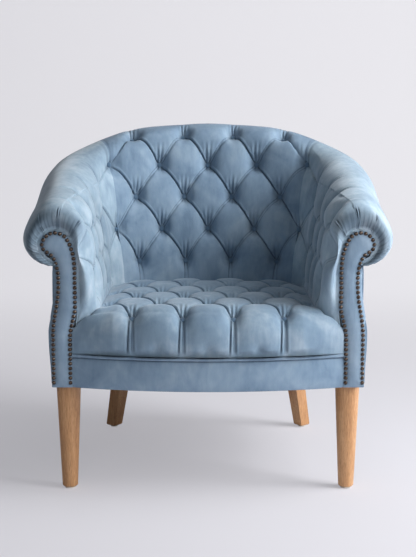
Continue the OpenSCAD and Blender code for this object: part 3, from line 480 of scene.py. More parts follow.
# a mesh object from arrays in millimetres, turned right way out
def makeMesh(name, points, faces, sharp=60, fold=None, hard=None):
    points = np.asarray(points, float) * 0.001
    mesh = bpy.data.meshes.new(name)
    sizes = np.array([len(f) for f in faces], np.int32)
    loops = np.concatenate([np.asarray(f, np.int32).ravel() for f in faces])
    starts = np.concatenate([[0], np.cumsum(sizes)[:-1]]).astype(np.int32)
    mesh.vertices.add(len(points))
    mesh.vertices.foreach_set("co", points.ravel())
    mesh.loops.add(len(loops))
    mesh.loops.foreach_set("vertex_index", loops)
    mesh.polygons.add(len(sizes))
    mesh.polygons.foreach_set("loop_start", starts)
    mesh.update(calc_edges=True)
    mesh.validate()
    first = points[loops[starts]]
    second = points[loops[starts + 1]]
    third = points[loops[starts + 2]]
    last = points[loops[starts + sizes - 1]]
    volume = np.einsum("ij,ij->i", first, np.cross(second, third)).sum()
    volume += np.einsum("ij,ij->i", first, np.cross(third, last))[sizes == 4].sum()
    if volume < 0:
        mesh.flip_normals()
    mesh.polygons.foreach_set("use_smooth", np.ones(len(sizes), bool))
    mesh.set_sharp_from_angle(angle=math.radians(sharp))
    if hard is not None:
        ends = np.zeros(len(mesh.edges) * 2, np.int32)
        mesh.edges.foreach_get("vertices", ends)
        crisp = np.zeros(len(mesh.edges), bool)
        mesh.attributes["sharp_edge"].data.foreach_get("value", crisp)
        mesh.attributes["sharp_edge"].data.foreach_set("value", crisp | hard[ends.reshape(-1, 2)].all(1))
    # fold is painted shade per point, kept as the fold attribute that darkens the velvet
    if fold is not None:
        values = np.zeros(len(mesh.vertices), np.float32)
        values[:fold.size] = fold.ravel()
        mesh.attributes.new("fold", "FLOAT", "POINT").data.foreach_set("value", values)
    obj = bpy.data.objects.new(name, mesh)
    bpy.context.scene.collection.objects.link(obj)
    return obj


def gridFaces(m, n, first=0):
    i, j = np.meshgrid(np.arange(m), np.arange(n), indexing="ij")
    a = first + i * (n + 1) + j
    return np.stack([a, a + n + 1, a + n + 2, a + 1], -1).reshape(-1, 4)


# closed skin: a fine face, a coarse hollow side, strips at both long edges and zipped ends
def skin(name, face, core, fold=None):
    m, n, k = face.shape[0] - 1, face.shape[1] - 1, core.shape[1] - 1
    o = (m + 1) * (n + 1)
    front = gridFaces(m, n)
    back = gridFaces(m, k, o)[:, ::-1]
    i = np.arange(m)
    a, b = i * (n + 1), o + i * (k + 1)
    low = np.stack([a, b, b + k + 1, a + n + 1], -1)
    high = np.stack([a + n, a + 2 * n + 1, b + 2 * k + 1, b + k], -1)
    ends = []
    z = [round(j * k / n) for j in range(n + 1)]
    for side, (fa, fb) in enumerate(((0, o), (m * (n + 1), o + m * (k + 1)))):
        for j in range(n):
            tris = [(fa + j, fa + j + 1, fb + z[j])]
            if z[j + 1] > z[j]:
                tris.append((fa + j + 1, fb + z[j + 1], fb + z[j]))
            ends += [t if side == 0 else t[::-1] for t in tris]
    faces = [tuple(f) for f in np.concatenate([front, back, low, high])] + ends
    hard = np.zeros(o + (m + 1) * (k + 1), bool)
    hard[:n + 1] = hard[m * (n + 1):o] = True
    return makeMesh(name, np.concatenate([face.reshape(-1, 3), core.reshape(-1, 3)]), faces, fold=fold, hard=hard)


# colours are sRGB hex, turned to linear here
def linear(code):
    out = []
    for i in (1, 3, 5):
        c = int(code[i:i + 2], 16) / 255
        out.append(c / 12.92 if c <= 0.04045 else ((c + 0.055) / 1.055) ** 2.4)
    return (*out, 1.0)


# sets or links the inputs of a node: i0, i1 and so on are sockets by number, other keys are names
def wire(tree, node, **inputs):
    for key, value in inputs.items():
        numbered = key[0] == "i" and key[1:].isdigit()
        socket = node.inputs[int(key[1:]) if numbered else key.replace("_", " ")]
        if isinstance(value, bpy.types.NodeSocket):
            tree.links.new(value, socket)
        else:
            socket.default_value = value
    return node


# adds a node with its settings and links
def addNode(tree, kind, settings=None, **inputs):
    node = tree.nodes.new(kind)
    for key, value in (settings or {}).items():
        setattr(node, key, value)
    return wire(tree, node, **inputs)


def newMaterial(name):
    material = bpy.data.materials.new(name)
    material.use_nodes = True
    tree = material.node_tree
    tree.nodes.clear()
    bsdf = addNode(tree, "ShaderNodeBsdfPrincipled")
    addNode(tree, "ShaderNodeOutputMaterial", Surface=bsdf.outputs["BSDF"])
    return material, tree, bsdf, addNode(tree, "ShaderNodeTexCoord").outputs["Object"]


def ramp(tree, value, stops):
    node = addNode(tree, "ShaderNodeValToRGB", i0=value)
    elements = node.color_ramp.elements
    while len(elements) < len(stops):
        elements.new(0.5)
    for element, (at, colour) in zip(elements, stops):
        element.position = at
        element.color = linear(colour)
    return node.outputs["Color"]


def noise(tree, vector, scale, detail, roughness, distortion=0.0):
    return addNode(tree, "ShaderNodeTexNoise", Vector=vector, Scale=scale, Detail=detail,
                   Roughness=roughness, Distortion=distortion)


def stretched(tree, vector, scale):
    return addNode(tree, "ShaderNodeMapping", Vector=vector, Scale=scale).outputs["Vector"]


def calc(tree, operation, *values):
    inputs = {"i" + str(i): value for i, value in enumerate(values)}
    return addNode(tree, "ShaderNodeMath", {"operation": operation}, **inputs).outputs[0]


def blendValue(tree, share, a, b):
    return addNode(tree, "ShaderNodeMix", {"data_type": "FLOAT"}, i0=share, i2=a, i3=b).outputs[0]


def blendColour(tree, share, a, b, mode="MIX"):
    settings = {"data_type": "RGBA", "blend_type": mode}
    return addNode(tree, "ShaderNodeMix", settings, i0=share, i6=a, i7=b).outputs[2]


def bump(tree, strength, depth, height, **under):
    return addNode(tree, "ShaderNodeBump", Strength=strength, Distance=depth, Height=height, **under).outputs["Normal"]


# cotton velvet, cut pile woven about 2 mm deep: pale where light grazes it, with broad brushed patches
# where the pile lies one way or the other, and painted shade from the fold attribute that darkens it and dims its sheen
def velvetMaterial(name, deep, mid, pale, patch=1.0, sheen=0.32):
    material, tree, bsdf, place = newMaterial(name)
    brushed = noise(tree, place, 11, 3, 0.55, 0.7)
    streak = noise(tree, stretched(tree, place, (1, 1, 0.3)), 70, 4, 0.6)
    pile = noise(tree, place, 1400, 2, 0.6)
    both = blendValue(tree, 0.35, brushed.outputs["Fac"], streak.outputs["Fac"])
    tone = ramp(tree, both, [(0.5 - 0.15 * patch, deep), (0.5, mid), (0.5 + 0.15 * patch, pale)])
    fuzz = blendColour(tree, 0.3, tone, pile.outputs["Color"], "SOFT_LIGHT")
    fold = addNode(tree, "ShaderNodeAttribute", {"attribute_name": "fold"}).outputs["Fac"]
    fine = bump(tree, 0.12, 0.0006, pile.outputs["Fac"])
    # painted shade: the fold attribute mixes the colour towards dark blue #1f2f3f and takes away sheen
    wire(tree, bsdf, Roughness=0.8, Sheen_Roughness=0.45, Sheen_Tint=linear("#e6edf3"), Specular_IOR_Level=0.2,
         Base_Color=blendColour(tree, calc(tree, "MULTIPLY", fold, 0.7), fuzz, linear("#1f2f3f")),
         Sheen_Weight=calc(tree, "MULTIPLY_ADD", fold, -0.95 * sheen, sheen),
         Normal=bump(tree, 0.25, 0.0012, streak.outputs["Fac"], Normal=fine))
    return material


# pale oak, oiled: long straight grain up the leg with darker pores about 1 mm apart
def oakMaterial(name, dark, mid, light):
    material, tree, bsdf, place = newMaterial(name)
    along = stretched(tree, place, (1, 1, 0.06))
    warp = noise(tree, along, 40, 3, 0.5).outputs["Fac"]
    grain = noise(tree, along, 260, 6, 0.65, 0.4).outputs["Fac"]
    pores = noise(tree, along, 900, 2, 0.6).outputs["Fac"]
    tone = ramp(tree, blendValue(tree, 0.55, warp, grain), [(0.36, dark), (0.5, mid), (0.64, light)])
    specks = ramp(tree, pores, [(0.40, "#8f6d49"), (0.52, "#ffffff")])
    wire(tree, bsdf, Base_Color=blendColour(tree, 0.35, tone, specks, "MULTIPLY"), Roughness=0.48,
         Coat_Weight=0.08, Coat_Roughness=0.35, Normal=bump(tree, 0.2, 0.0004, grain))
    return material


# aged bronze-finished nail heads: mottled between dark and lighter brown
def bronzeMaterial(name, dark, light):
    material, tree, bsdf, place = newMaterial(name)
    spots = noise(tree, place, 420, 4, 0.6).outputs["Fac"]
    wire(tree, bsdf, Base_Color=ramp(tree, spots, [(0.38, dark), (0.62, light)]), Metallic=1.0,
         Roughness=0.24, Normal=bump(tree, 0.25, 0.0003, spots))
    return material


# plain hidden stuff: sawn beech, woven jute, felt, black lining, zinc, nylon; one noise tone and bump each
def plainMaterial(name, dark, light, scale, stretch, rough, metal=0.0, relief=0.3):
    material, tree, bsdf, place = newMaterial(name)
    grain = noise(tree, stretched(tree, place, stretch), scale, 4, 0.6).outputs["Fac"]
    wire(tree, bsdf, Base_Color=ramp(tree, grain, [(0.35, dark), (0.65, light)]), Metallic=metal,
         Roughness=rough, Normal=bump(tree, relief, 0.0005, grain))
    return material


# one velvet in several copies, retoned for how light falls on each part: painted paler on the arms and facings, painted
# darker on the buttons down in their wells; the seat's copy is paler in its light patches
velvet = velvetMaterial("blueVelvet", "#647a90", "#748a9f", "#8599ab", sheen=0.2)
litArmVelvet = velvetMaterial("litArmVelvet", "#778c9f", "#8ca1b1", "#a4b4c1", sheen=0.4)
seatVelvet = velvetMaterial("seatVelvet", "#647a8f", "#768c9f", "#92a3b2", 1.2, sheen=0.32)
litFacingVelvet = velvetMaterial("litFacingVelvet", "#687d92", "#788da1", "#889bad", 1.2)
shadedButtonVelvet = velvetMaterial("shadedButtonVelvet", "#42596f", "#4e667d", "#5c748a")
oak = oakMaterial("paleOak", "#9f7149", "#b4865a", "#c3996e")
bronze = bronzeMaterial("agedBronzeNail", "#241e1b", "#5c5149")
beech = plainMaterial("sawnBeech", "#b8946a", "#d4b48c", 90, (1, 1, 0.1), 0.7)
jute = plainMaterial("jute", "#8f8164", "#c4b595", 700, (1, 1, 1), 0.9, relief=0.6)
felt = plainMaterial("greyFelt", "#7d786f", "#9b968b", 500, (1, 1, 1), 0.95, relief=0.5)
lining = plainMaterial("blackLining", "#242426", "#3c3c40", 900, (1, 1, 1), 0.9)
zinc = plainMaterial("zincPlate", "#8d9094", "#b4b7ba", 300, (1, 1, 0.3), 0.35, metal=1.0)
nylon = plainMaterial("paleNylon", "#c9c5ba", "#dedbd2", 200, (1, 1, 1), 0.45)
print("materials made")


def finish(obj, slotName, material, *nodes, fill=None):
    obj.data.materials.clear()
    obj.data.materials.append(material)
    if nodes:
        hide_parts(*nodes)
    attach(obj, "root")
    return obj


# steps of the fine faces in millimetres, about how large the faces are, and the steps of their hollow side
fineness = {"column": 2.0, "row": 2.0}
faceSize = {"height": 600, "back": 660, "arm": 560, "perCount": 145, "footRows": 16}
coreSteps = 9

# the covers are blown out a little between their buttons by a short cloth simulation on a coarse grid
cloth = {"pressure": 4.0, "frames": 20, "most": 4.5, "spacing": 9.0, "hold": 6.0, "stretch": 12.0, "bend": 0.4}


# near a crease, so held down while the cloth swells
def onCrease(s, w, wide, tall):
    a, b = diagonals(s, w)
    return np.minimum(np.abs(nearest(a)), np.abs(nearest(b))) * creaseSpacing(wide, tall) < cloth["hold"]


# how far each point of a coarse grid moves, in millimetres, when pressed outward
def swellCover(points, held, outward):
    m, n = points.shape[0] - 1, points.shape[1] - 1
    faces = gridFaces(m, n)
    flat = points.reshape(-1, 3) * 0.001
    a, b, c = flat[faces[:, 0]], flat[faces[:, 1]], flat[faces[:, 2]]
    if (np.cross(b - a, c - a) * outward.reshape(-1, 3)[faces[:, 0]]).sum() < 0:
        faces = faces[:, ::-1]
    mesh = bpy.data.meshes.new("cover")
    mesh.from_pydata(flat.tolist(), [], faces.tolist())
    cover = bpy.data.objects.new("cover", mesh)
    bpy.context.scene.collection.objects.link(cover)
    group = cover.vertex_groups.new(name="held")
    group.add([int(i) for i in np.flatnonzero(held.ravel())], 1.0, "REPLACE")
    modifier = cover.modifiers.new("cloth", "CLOTH")
    settings = modifier.settings
    settings.quality = 6
    settings.mass = 0.25
    settings.tension_stiffness = settings.compression_stiffness = cloth["stretch"]
    settings.shear_stiffness = 4
    settings.bending_stiffness = cloth["bend"]
    settings.vertex_group_mass = "held"
    settings.use_pressure = True
    settings.uniform_pressure_force = cloth["pressure"]
    settings.effector_weights.gravity = 0
    modifier.collision_settings.use_collision = False
    modifier.point_cache.frame_start, modifier.point_cache.frame_end = 1, cloth["frames"]
    for number in range(1, cloth["frames"] + 1):
        bpy.context.scene.frame_set(number)
    moved = cover.evaluated_get(bpy.context.evaluated_depsgraph_get()).data
    out = np.zeros(len(flat) * 3, np.float32)
    moved.vertices.foreach_get("co", out)
    shift = (out.reshape(-1, 3) - flat) * 1000
    bpy.context.scene.frame_set(1)
    bpy.data.objects.remove(cover)
    length = np.linalg.norm(shift, axis=1, keepdims=True)
    shift = shift * np.minimum(1, cloth["most"] / np.maximum(length, 1e-6))
    print("cover swelled by up to", round(float(length.max()), 2), "mm")
    return shift.reshape(points.shape)


# a coarse grid's values read between its points
def between(values, gi, gj):
    i = np.clip(gi.astype(int), 0, values.shape[0] - 2)
    j = np.clip(gj.astype(int), 0, values.shape[1] - 2)
    u = np.clip(gi - i, 0, 1)[..., None]
    v = np.clip(gj - j, 0, 1)[..., None]
    return ((values[i, j] * (1 - u) + values[i + 1, j] * u) * (1 - v)
            + (values[i, j + 1] * (1 - u) + values[i + 1, j + 1] * u) * v)


def wallSwelled(s, v):
    first, last = s[0, 0], s[-1, 0]
    columns = int(abs(float(last - first)) * faceSize["perCount"] / cloth["spacing"])
    rows = int(faceSize["height"] / cloth["spacing"])
    cs = np.repeat(np.linspace(first, last, columns + 1)[:, None], rows + 1, 1)
    cv = sectionEnd(np.abs(cs)) * np.linspace(0, 1, rows + 1)[None, :]
    points = facePoint(cs, cv)[0]
    w = rowCount(np.abs(cs), cv)
    onGrid = (w > 0) & (w < topRow(np.abs(cs)))
    pleats = np.abs(nearest(cs - 0.5)) * 130 < cloth["hold"]
    held = np.where(onGrid, onCrease(cs, w, tufting["width"], rowGap), pleats) | (endBlend(np.abs(cs)) > 0.03)
    held[0] = held[-1] = True
    held[:, 0] = held[:, -1] = True
    middle = np.full(cs.shape, 5)
    shift = swellCover(points, held, points - corePoint(cs, middle, coreSteps))
    return between(shift, (s - first) / (last - first) * columns, np.clip(v / sectionEnd(np.abs(s)), 0, 1) * rows)


# rows of an upright cushion, in millimetres up its face, for every column
def rowHeights(s):
    count = int(faceSize["height"] / fineness["row"])
    low = np.linspace(padLow - seatHeight, 0, faceSize["footRows"] + 1)[:-1]
    up = sectionEnd(np.abs(s))[:, None] * np.linspace(0, 1, count + 1)[None, :]
    return np.concatenate([np.repeat(low[None, :], len(s), 0), up], 1)


def uprightPad(name, s):
    v = rowHeights(s)
    # fold: painted shade for each point of the face
    face, fold = facePoint(np.repeat(s[:, None], v.shape[1], 1), v)
    face = face + wallSwelled(np.repeat(s[:, None], v.shape[1], 1), v)
    counts, steps = np.meshgrid(s, np.arange(coreSteps + 1), indexing="ij")
    return skin(name, face, corePoint(counts, steps, coreSteps), fold)


backCount = int(faceSize["back"] / fineness["column"])
insideBack = uprightPad("insideBack", np.linspace(-seamCount, seamCount, backCount + 1))
finish(insideBack, "velvet", velvet, "inside_back", fill=0.8)
# the columns of an arm stand closer where its end turns round the facing
t = np.linspace(0, 1, int(faceSize["arm"] / fineness["column"]) + 1)
armCounts = mix(seamCount, lastCount, np.where(t < 0.8, t, 0.8 + 0.2 * np.sin((t - 0.8) / 0.2 * np.pi / 2)))
armCounts[-1] = lastCount
for side, sign in (("Left", -1), ("Right", 1)):
    arm = uprightPad("insideArm" + side, sign * armCounts)
    finish(arm, "velvet", litArmVelvet, "inside_arm_" + side.lower(), fill=0.8)
print("back and arm cushions made")


# the seat: rows run from the back edge over the top, round the front edge and down to the piping
seat = {
    "rowGap": 95, "frontRow": 40, "crown": 5, "puff": 9, "sideCount": 2.125, "backEdge": 471,
    "arch": 0.04, "pitDepth": 17, "pitTight": 900, "pleat": 3.8, "secondPleat": 2.4, "tuck": 0.9,
    "width": 600, "topLength": 570, "frontLength": 46, "clothColumns": 60, "clothRows": 64,
}
sideCount = seat["sideCount"]
seatArc = chair["seatRound"] * math.pi / 2
seatDown = seatHeight - chair["seatRound"] - seatLow
seatEnd = seatArc + seatDown


def bowY(x):
    return bowCentre - np.sqrt(bowRadius ** 2 - x * x)


def seatSpread(c, edge):
    t = np.clip((np.abs(c) - 1.5) / (sideCount - 1.5), 0, None)
    return np.sign(c) * (np.abs(c) * chair["seatGap"] + (edge - sideCount * chair["seatGap"]) * t * t)


def seatBack(x):
    p = seatPlan
    a = np.abs(x)
    middle = p["cy"] + np.sqrt(np.clip(p["back"] ** 2 - x * x, 0, None))
    corner = p["yc"] + np.sqrt(np.clip(p["corner"] ** 2 - (a - p["xc"]) ** 2, 0, None))
    return np.where(a < p["back"] * math.sin(p["angle"]), middle, corner) - gap


def seatEdge(y, v):
    q = np.clip(1 - (y + 1.5 - frontY) / chair["frontEase"], 0, 1)
    k = 1 - np.sqrt(1 - q * q)
    inside = halfSeat - 2 * gap + k * (coreInset - lip - 1.5 + lowFlare(v))
    ahead = halfSeat + coreInset - gap + lowFlare(v)
    return mix(inside, ahead, smooth((frontY + 1 - y) / 3))


def seatRow(u):
    return (seat["frontRow"] - u) / seat["rowGap"]


# height and painted shade on the seat: diamonds on top, wide loaves with double pleats down the front
def seatRelief(c, u):
    w = seatRow(u)
    down = -w * seat["rowGap"]
    top, topShade = buttoned(c, w, chair["seatGap"], seat["rowGap"], seat["puff"], seat["arch"],
                            seat["pitDepth"], seat["pitTight"])
    # painted shade on top, weaker away from the front row of buttons
    topShade = topShade * (0.5 + 0.4 * bell(w, 1.2))
    xs = nearest(c - 0.5) * chair["seatGap"]
    far = np.clip(down / 130, 0, 1)
    half = 6.0 + 4.0 * far
    begin = smooth((down - 2) / 8)
    left, right = bell(xs + half, 1.9), bell(xs - 0.55 * half, 1.9)
    pleat = (-seat["pleat"] * left + 1.4 * bell(xs + half - 4.5, 2.2)
             - seat["secondPleat"] * right + 1.0 * bell(xs - 0.55 * half - 4.2, 2.2))
    loaf = np.abs(np.sin(np.pi * (c - 0.5))) ** 0.5
    front = (chair["puff"] * (1.25 * loaf * (1 - 0.45 * far) - 0.25 * (1 - 0.6 * far))
             - 10 * pitAt(c, w, seat["pitTight"]) + begin * pleat)
    # painted shade in the front pleats and round each front button
    frontShade = begin * np.clip(0.95 * left + 0.5 * right, 0, 1) + 0.9 * bell(np.hypot(xs, down), 8)
    share = smooth(-w * 6 + 0.5)
    return mix(top, front, share), np.clip(mix(topShade, frontShade, share), 0, 1)


def seatPoint(c, u):
    p = np.abs(c) / sideCount
    r = chair["seatRound"]
    g = u / r
    deep = r * (1 - 0.55 * smooth((p - 0.86) / 0.12))
    y0 = bowY(seatSpread(c, bowHalf)) + deep - 3
    yb = seatBack(seatSpread(c, halfSeat - gap))
    y = np.where(u < -150, y0 + 150 + (-150 - u) / (seat["backEdge"] - 150) * (yb - y0 - 150),
                 np.where(u < 0, y0 - u, np.where(u < seatArc, y0 - deep * np.sin(g), y0 - deep)))
    z = np.where(u < 0, seatHeight,
                 np.where(u < seatArc, seatHeight - r * (1 - np.cos(g)), seatHeight - r - (u - seatArc)))
    ny = np.where(u < 0, 0, np.where(u < seatArc, -np.sin(g), -1))
    nz = np.where(u < 0, 1, np.where(u < seatArc, np.cos(g), 0))
    x = seatSpread(c, seatEdge(y, z - seatHeight))
    far = np.clip((yb - y) / 40, 0, 1) * np.clip((z - seatLow) / 14, 0, 1)
    edge = np.minimum(1, (1 - p) * 6) * far
    hold = np.minimum(1, (1 - p) * 17) * far
    height, dark = seatRelief(c, u)
    height = height * (1 - seat["tuck"] * smooth((u - seatEnd + 20) / 20))
    fall = np.where(u < 0, 1, np.clip(1 - u / seatArc, 0, None))
    crown = seat["crown"] * (1 - p * p) * np.clip((yb - y) / 60, 0, 1) * fall
    h = np.where(height > 0, edge, hold) * height + 2 * edge + crown
    return np.stack([x, y + ny * h, z + nz * h], -1), dark * hold


def seatSwelled(c, u):
    back, columns, rows = -seat["backEdge"], seat["clothColumns"], seat["clothRows"]
    cs, cu = np.meshgrid(np.linspace(-sideCount, sideCount, columns), np.linspace(back, seatEnd, rows), indexing="ij")
    points = seatPoint(cs, cu)[0]
    w = seatRow(cu)
    pleats = np.abs(nearest(cs - 0.5)) * chair["seatGap"] < 12
    held = np.where(w > 0, onCrease(cs, w, chair["seatGap"], seat["rowGap"]), pleats)
    held |= (np.abs(cs) > sideCount - 0.12) | (cu < back + 40) | (cu > seatEnd - 12)
    shift = swellCover(points, held, points - np.array([0, 0, 250.0]))
    return between(shift, (c + sideCount) / (2 * sideCount) * (columns - 1), (u - back) / (seatEnd - back) * (rows - 1))


# a closed solid between two grids of the same size, the first one on top
def slab(name, top, under, fold):
    m, n = top.shape[0] - 1, top.shape[1] - 1
    o = (m + 1) * (n + 1)
    faces = [tuple(f) for f in gridFaces(m, n)] + [tuple(f[::-1]) for f in gridFaces(m, n, o)]
    for i in range(m):
        a = i * (n + 1)
        faces += [(a, a + o, a + n + 1 + o, a + n + 1), (a + n, a + 2 * n + 1, a + 2 * n + 1 + o, a + n + o)]
    for j in range(n):
        b = m * (n + 1) + j
        faces += [(j, j + 1, j + 1 + o, j + o), (b, b + o, b + 1 + o, b + 1)]
    return makeMesh(name, np.concatenate([top.reshape(-1, 3), under.reshape(-1, 3)]), faces, fold=fold)


c = np.linspace(-sideCount, sideCount, int(seat["width"] / fineness["column"]) + 1)
u = np.concatenate([np.linspace(-seat["backEdge"], seatArc, int(seat["topLength"] / fineness["row"])),
                    np.linspace(seatArc, seatEnd, int(seat["frontLength"] / fineness["row"]) + 2)[1:]])
cc, uu = np.meshgrid(c, u, indexing="ij")
# fold: painted shade for each point of the seat's face
face, fold = seatPoint(cc, uu)
face = face + seatSwelled(cc, uu)
# underside: the same outline at the low level, reached straight down the sides
under = face.copy()
edgeLow = seatEdge(face[..., 1], seatLow - seatHeight)
under[..., 0] = np.clip(face[..., 0], -edgeLow, edgeLow)
under[..., 2] = seatLow
finish(slab("seatPad", face, under, fold), "velvet", seatVelvet, "seat_pad", fill=0.8)
print("seat made")


# covered buttons, drawn into their wells
button = {"radius": 7.4, "height": 3.8, "stand": 2.2, "tilt": 0.12, "seed": 4}


def circle(radius, z, sides):
    turns = [2 * math.pi * j / sides for j in range(sides)]
    return [(radius * math.cos(q), radius * math.sin(q), z) for q in turns]


# a dome on a short skirt, closed underneath
def domeObject(name, radius, height, rings=5, sides=16, skirt=1.2):
    points = [(0, 0, height)]
    for i in range(1, rings + 1):
        g = i / rings * math.pi / 2
        points += circle(radius * math.sin(g), height * math.cos(g), sides)
    points += circle(radius * 0.8, -skirt, sides) + [(0, 0, -skirt)]
    faces = [(0, 1 + j, 1 + (j + 1) % sides) for j in range(sides)]
    for i in range(rings):
        a, b = 1 + i * sides, 1 + (i + 1) * sides
        faces += [(a + j, b + j, b + (j + 1) % sides, a + (j + 1) % sides) for j in range(sides)]
    last = 1 + rings * sides
    faces += [(last + j, len(points) - 1, last + (j + 1) % sides) for j in range(sides)]
    return makeMesh(name, points, faces, 50)


# one tree sets a small piece on every point of a carrier mesh, along the point's outward direction
def setPiecesTree(name, material):
    tree = bpy.data.node_groups.new(name, "GeometryNodeTree")
    for label, kind in (("Points", "Geometry"), ("Piece", "Object"), ("Tilt", "Float"), ("Seed", "Int")):
        tree.interface.new_socket(label, in_out="INPUT", socket_type="NodeSocket" + kind)
    tree.interface.new_socket("Geometry", in_out="OUTPUT", socket_type="NodeSocketGeometry")
    start = addNode(tree, "NodeGroupInput").outputs
    vector = {"data_type": "FLOAT_VECTOR"}
    info = addNode(tree, "GeometryNodeObjectInfo", Object=start["Piece"])
    outward = addNode(tree, "GeometryNodeInputNamedAttribute", vector, Name="outward")
    turn = addNode(tree, "FunctionNodeAlignRotationToVector", {"axis": "Z"}, Vector=outward.outputs["Attribute"])
    wobble = addNode(tree, "FunctionNodeRandomValue", vector, i0=calc(tree, "MULTIPLY", start["Tilt"], -1.0),
                     i1=start["Tilt"], Seed=start["Seed"])
    onPoints = addNode(tree, "GeometryNodeInstanceOnPoints", Points=start["Points"],
                       Instance=info.outputs["Geometry"], Rotation=turn.outputs[0])
    tilted = addNode(tree, "GeometryNodeRotateInstances", Instances=onPoints.outputs[0], Rotation=wobble.outputs[0])
    real = addNode(tree, "GeometryNodeRealizeInstances", Geometry=tilted.outputs[0])
    painted = addNode(tree, "GeometryNodeSetMaterial", Geometry=real.outputs[0], Material=material)
    addNode(tree, "NodeGroupOutput", Geometry=painted.outputs[0])
    return tree


def setPieces(name, points, outward, piece, material, tilt, seed):
    mesh = bpy.data.meshes.new(name + "Carrier")
    mesh.from_pydata([tuple(p * 0.001) for p in points], [], [])
    attribute = mesh.attributes.new("outward", "FLOAT_VECTOR", "POINT")
    attribute.data.foreach_set("vector", np.asarray(outward, float).ravel())
    carrier = bpy.data.objects.new(name + "Carrier", mesh)
    bpy.context.scene.collection.objects.link(carrier)
    modifier = carrier.modifiers.new("set", "NODES")
    modifier.node_group = setPiecesTree(name + "Tree", material)
    values = {"Piece": piece, "Tilt": tilt, "Seed": seed}
    for socket in modifier.node_group.interface.items_tree:
        if socket.name in values:
            modifier[socket.identifier] = values[socket.name]
    bpy.context.view_layer.update()
    result = bpy.data.meshes.new_from_object(carrier.evaluated_get(bpy.context.evaluated_depsgraph_get()))
    bpy.data.objects.remove(carrier)
    obj = bpy.data.objects.new(name, result)
    bpy.context.scene.collection.objects.link(obj)
    return obj


# place and outward direction of a button on the back or an arm
def wallButton(s, k):
    s, t = np.array(float(s)), np.array(abs(float(s)))
    v = np.array(float(firstRow + k * rowGap - (float(topDrop(t)) if k == 2 else 0)))
    _, _, nx, nz = section(reach(t), rollHeight(t), rollRadius(t), 0, v)
    d = place(s, np.array(1.0), 0) - place(s, np.array(0.0), 0)
    out = np.array([d[0] * nx, d[1] * nx, float(nz)])
    return facePoint(s, v)[0] + out * button["stand"], out


def seatButton(count, k):
    u = seat["frontRow"] - seat["rowGap"] * k
    g = max(0, u / chair["seatRound"])
    out = np.array([0, -math.sin(g), math.cos(g)])
    return seatPoint(np.array(float(count)), np.array(float(u)))[0] + out * button["stand"], out


plainButton = domeObject("plainButton", button["radius"], button["height"])
half, whole = (-1.5, -0.5, 0.5, 1.5), (-2, -1, 0, 1, 2)
armHalf, armWhole = (2.5, 3.5, 4.5), (3, 4, 5)
fiveRows = [(0, half), (2, half), (4, half), (1, whole), (3, whole)]
threeRows = [(0, armHalf), (2, armHalf), (1, armWhole)]
buttonSets = [
    ("backButtons", "back_buttons", wallButton, 1, fiveRows),
    ("seatButtons", "seat_buttons", seatButton, 1, fiveRows),
    ("armButtonsLeft", "arm_buttons_left", wallButton, -1, threeRows),
    ("armButtonsRight", "arm_buttons_right", wallButton, 1, threeRows),
]
for name, node, spot, sign, rows in buttonSets:
    spots = [spot(sign * s, k) for k, counts in rows for s in counts]
    made = setPieces(name, [p for p, _ in spots], [d for _, d in spots], plainButton, shadedButtonVelvet,
                     button["tilt"], button["seed"])
    finish(made, "covered_button", shadedButtonVelvet, node)
bpy.data.objects.remove(plainButton)
print("buttons set")


# facings: a scroll outline, padded, with nails along its edge; heights are over the floor
facing = {
    "bulge": 4.0, "mesh": 3.2, "edgeRoll": 1.2, "ripple": 0.35, "dimple": 0.9,
    "neckSwell": 548, "flareLow": 52, "wallLow": 58, "footJoins": (120, 75),
    "nailHeight": 3.6, "nailTilt": 0.06, "nailSeed": 9, "nailInset": 0.2, "nailOver": 0.35,
}
headCentre = halfBody - rollInset - headInset
footLevels = [chair["legHeight"] + 1] + [seatHeight - drop for drop in facing["footJoins"]]


def bend(a, b, c, d, t):
    a, b, c, d = (np.array(q, float) for q in (a, b, c, d))
    t = t[:, None]
    return a * (1 - t) ** 3 + 3 * b * t * (1 - t) ** 2 + 3 * c * t * t * (1 - t) + d * t ** 3


# outer side of a facing: curled in under the head, straight down, then out to the wall
def neckLine():
    cx, cz, r = headCentre, headZ, headRadius
    q, e = (cx + 0.35 * r, cz - 0.69 * r), (cx - 1, cz - 2.2 * r)
    t = np.linspace(0, 1, 13)
    curl = bend((cx + r, cz), (cx + r, cz - 0.31 * r), (cx + 0.59 * r, cz - 0.5 * r), q, t)
    down = bend(q, (cx + 0.13 * r, cz - 0.91 * r), (e[0], cz - 1.49 * r), e, t[1:])
    out = smooth((t[1:] - 0.1) / 0.9)
    last = np.stack([e[0] + (halfBody - e[0]) * out, mix(e[1], seatHeight - facing["wallLow"], t[1:])], -1)
    return np.concatenate([curl[1:], down, last])


def facingOutline():
    innerX = halfSeat + coreInset + gap
    points = [(innerX + chair["flare"], z) for z in footLevels]
    points += [(innerX + float(lowFlare(v)), seatHeight + v) for v in np.linspace(-facing["flareLow"], 0, 6)[:-1]]
    points += [(innerX, z) for z in np.linspace(seatHeight, neckHeight, 8)[:-1]]
    # the inner edge swells over into the round head
    join = math.radians(150)
    meet = np.array([headCentre + headRadius * math.cos(join), headZ + headRadius * math.sin(join)])
    towards = meet - 28 * np.array([0.5, 0.866])
    swell = bend((innerX, neckHeight), (innerX, facing["neckSwell"]), towards, meet, np.linspace(0, 1, 10)[:-1])
    points += [tuple(p) for p in swell]
    points += [(headCentre + headRadius * math.cos(g), headZ + headRadius * math.sin(g))
               for g in np.linspace(join, 0, 18)]
    points += [tuple(p) for p in neckLine()]
    return np.array(points + [(halfBody, z) for z in reversed(footLevels)])


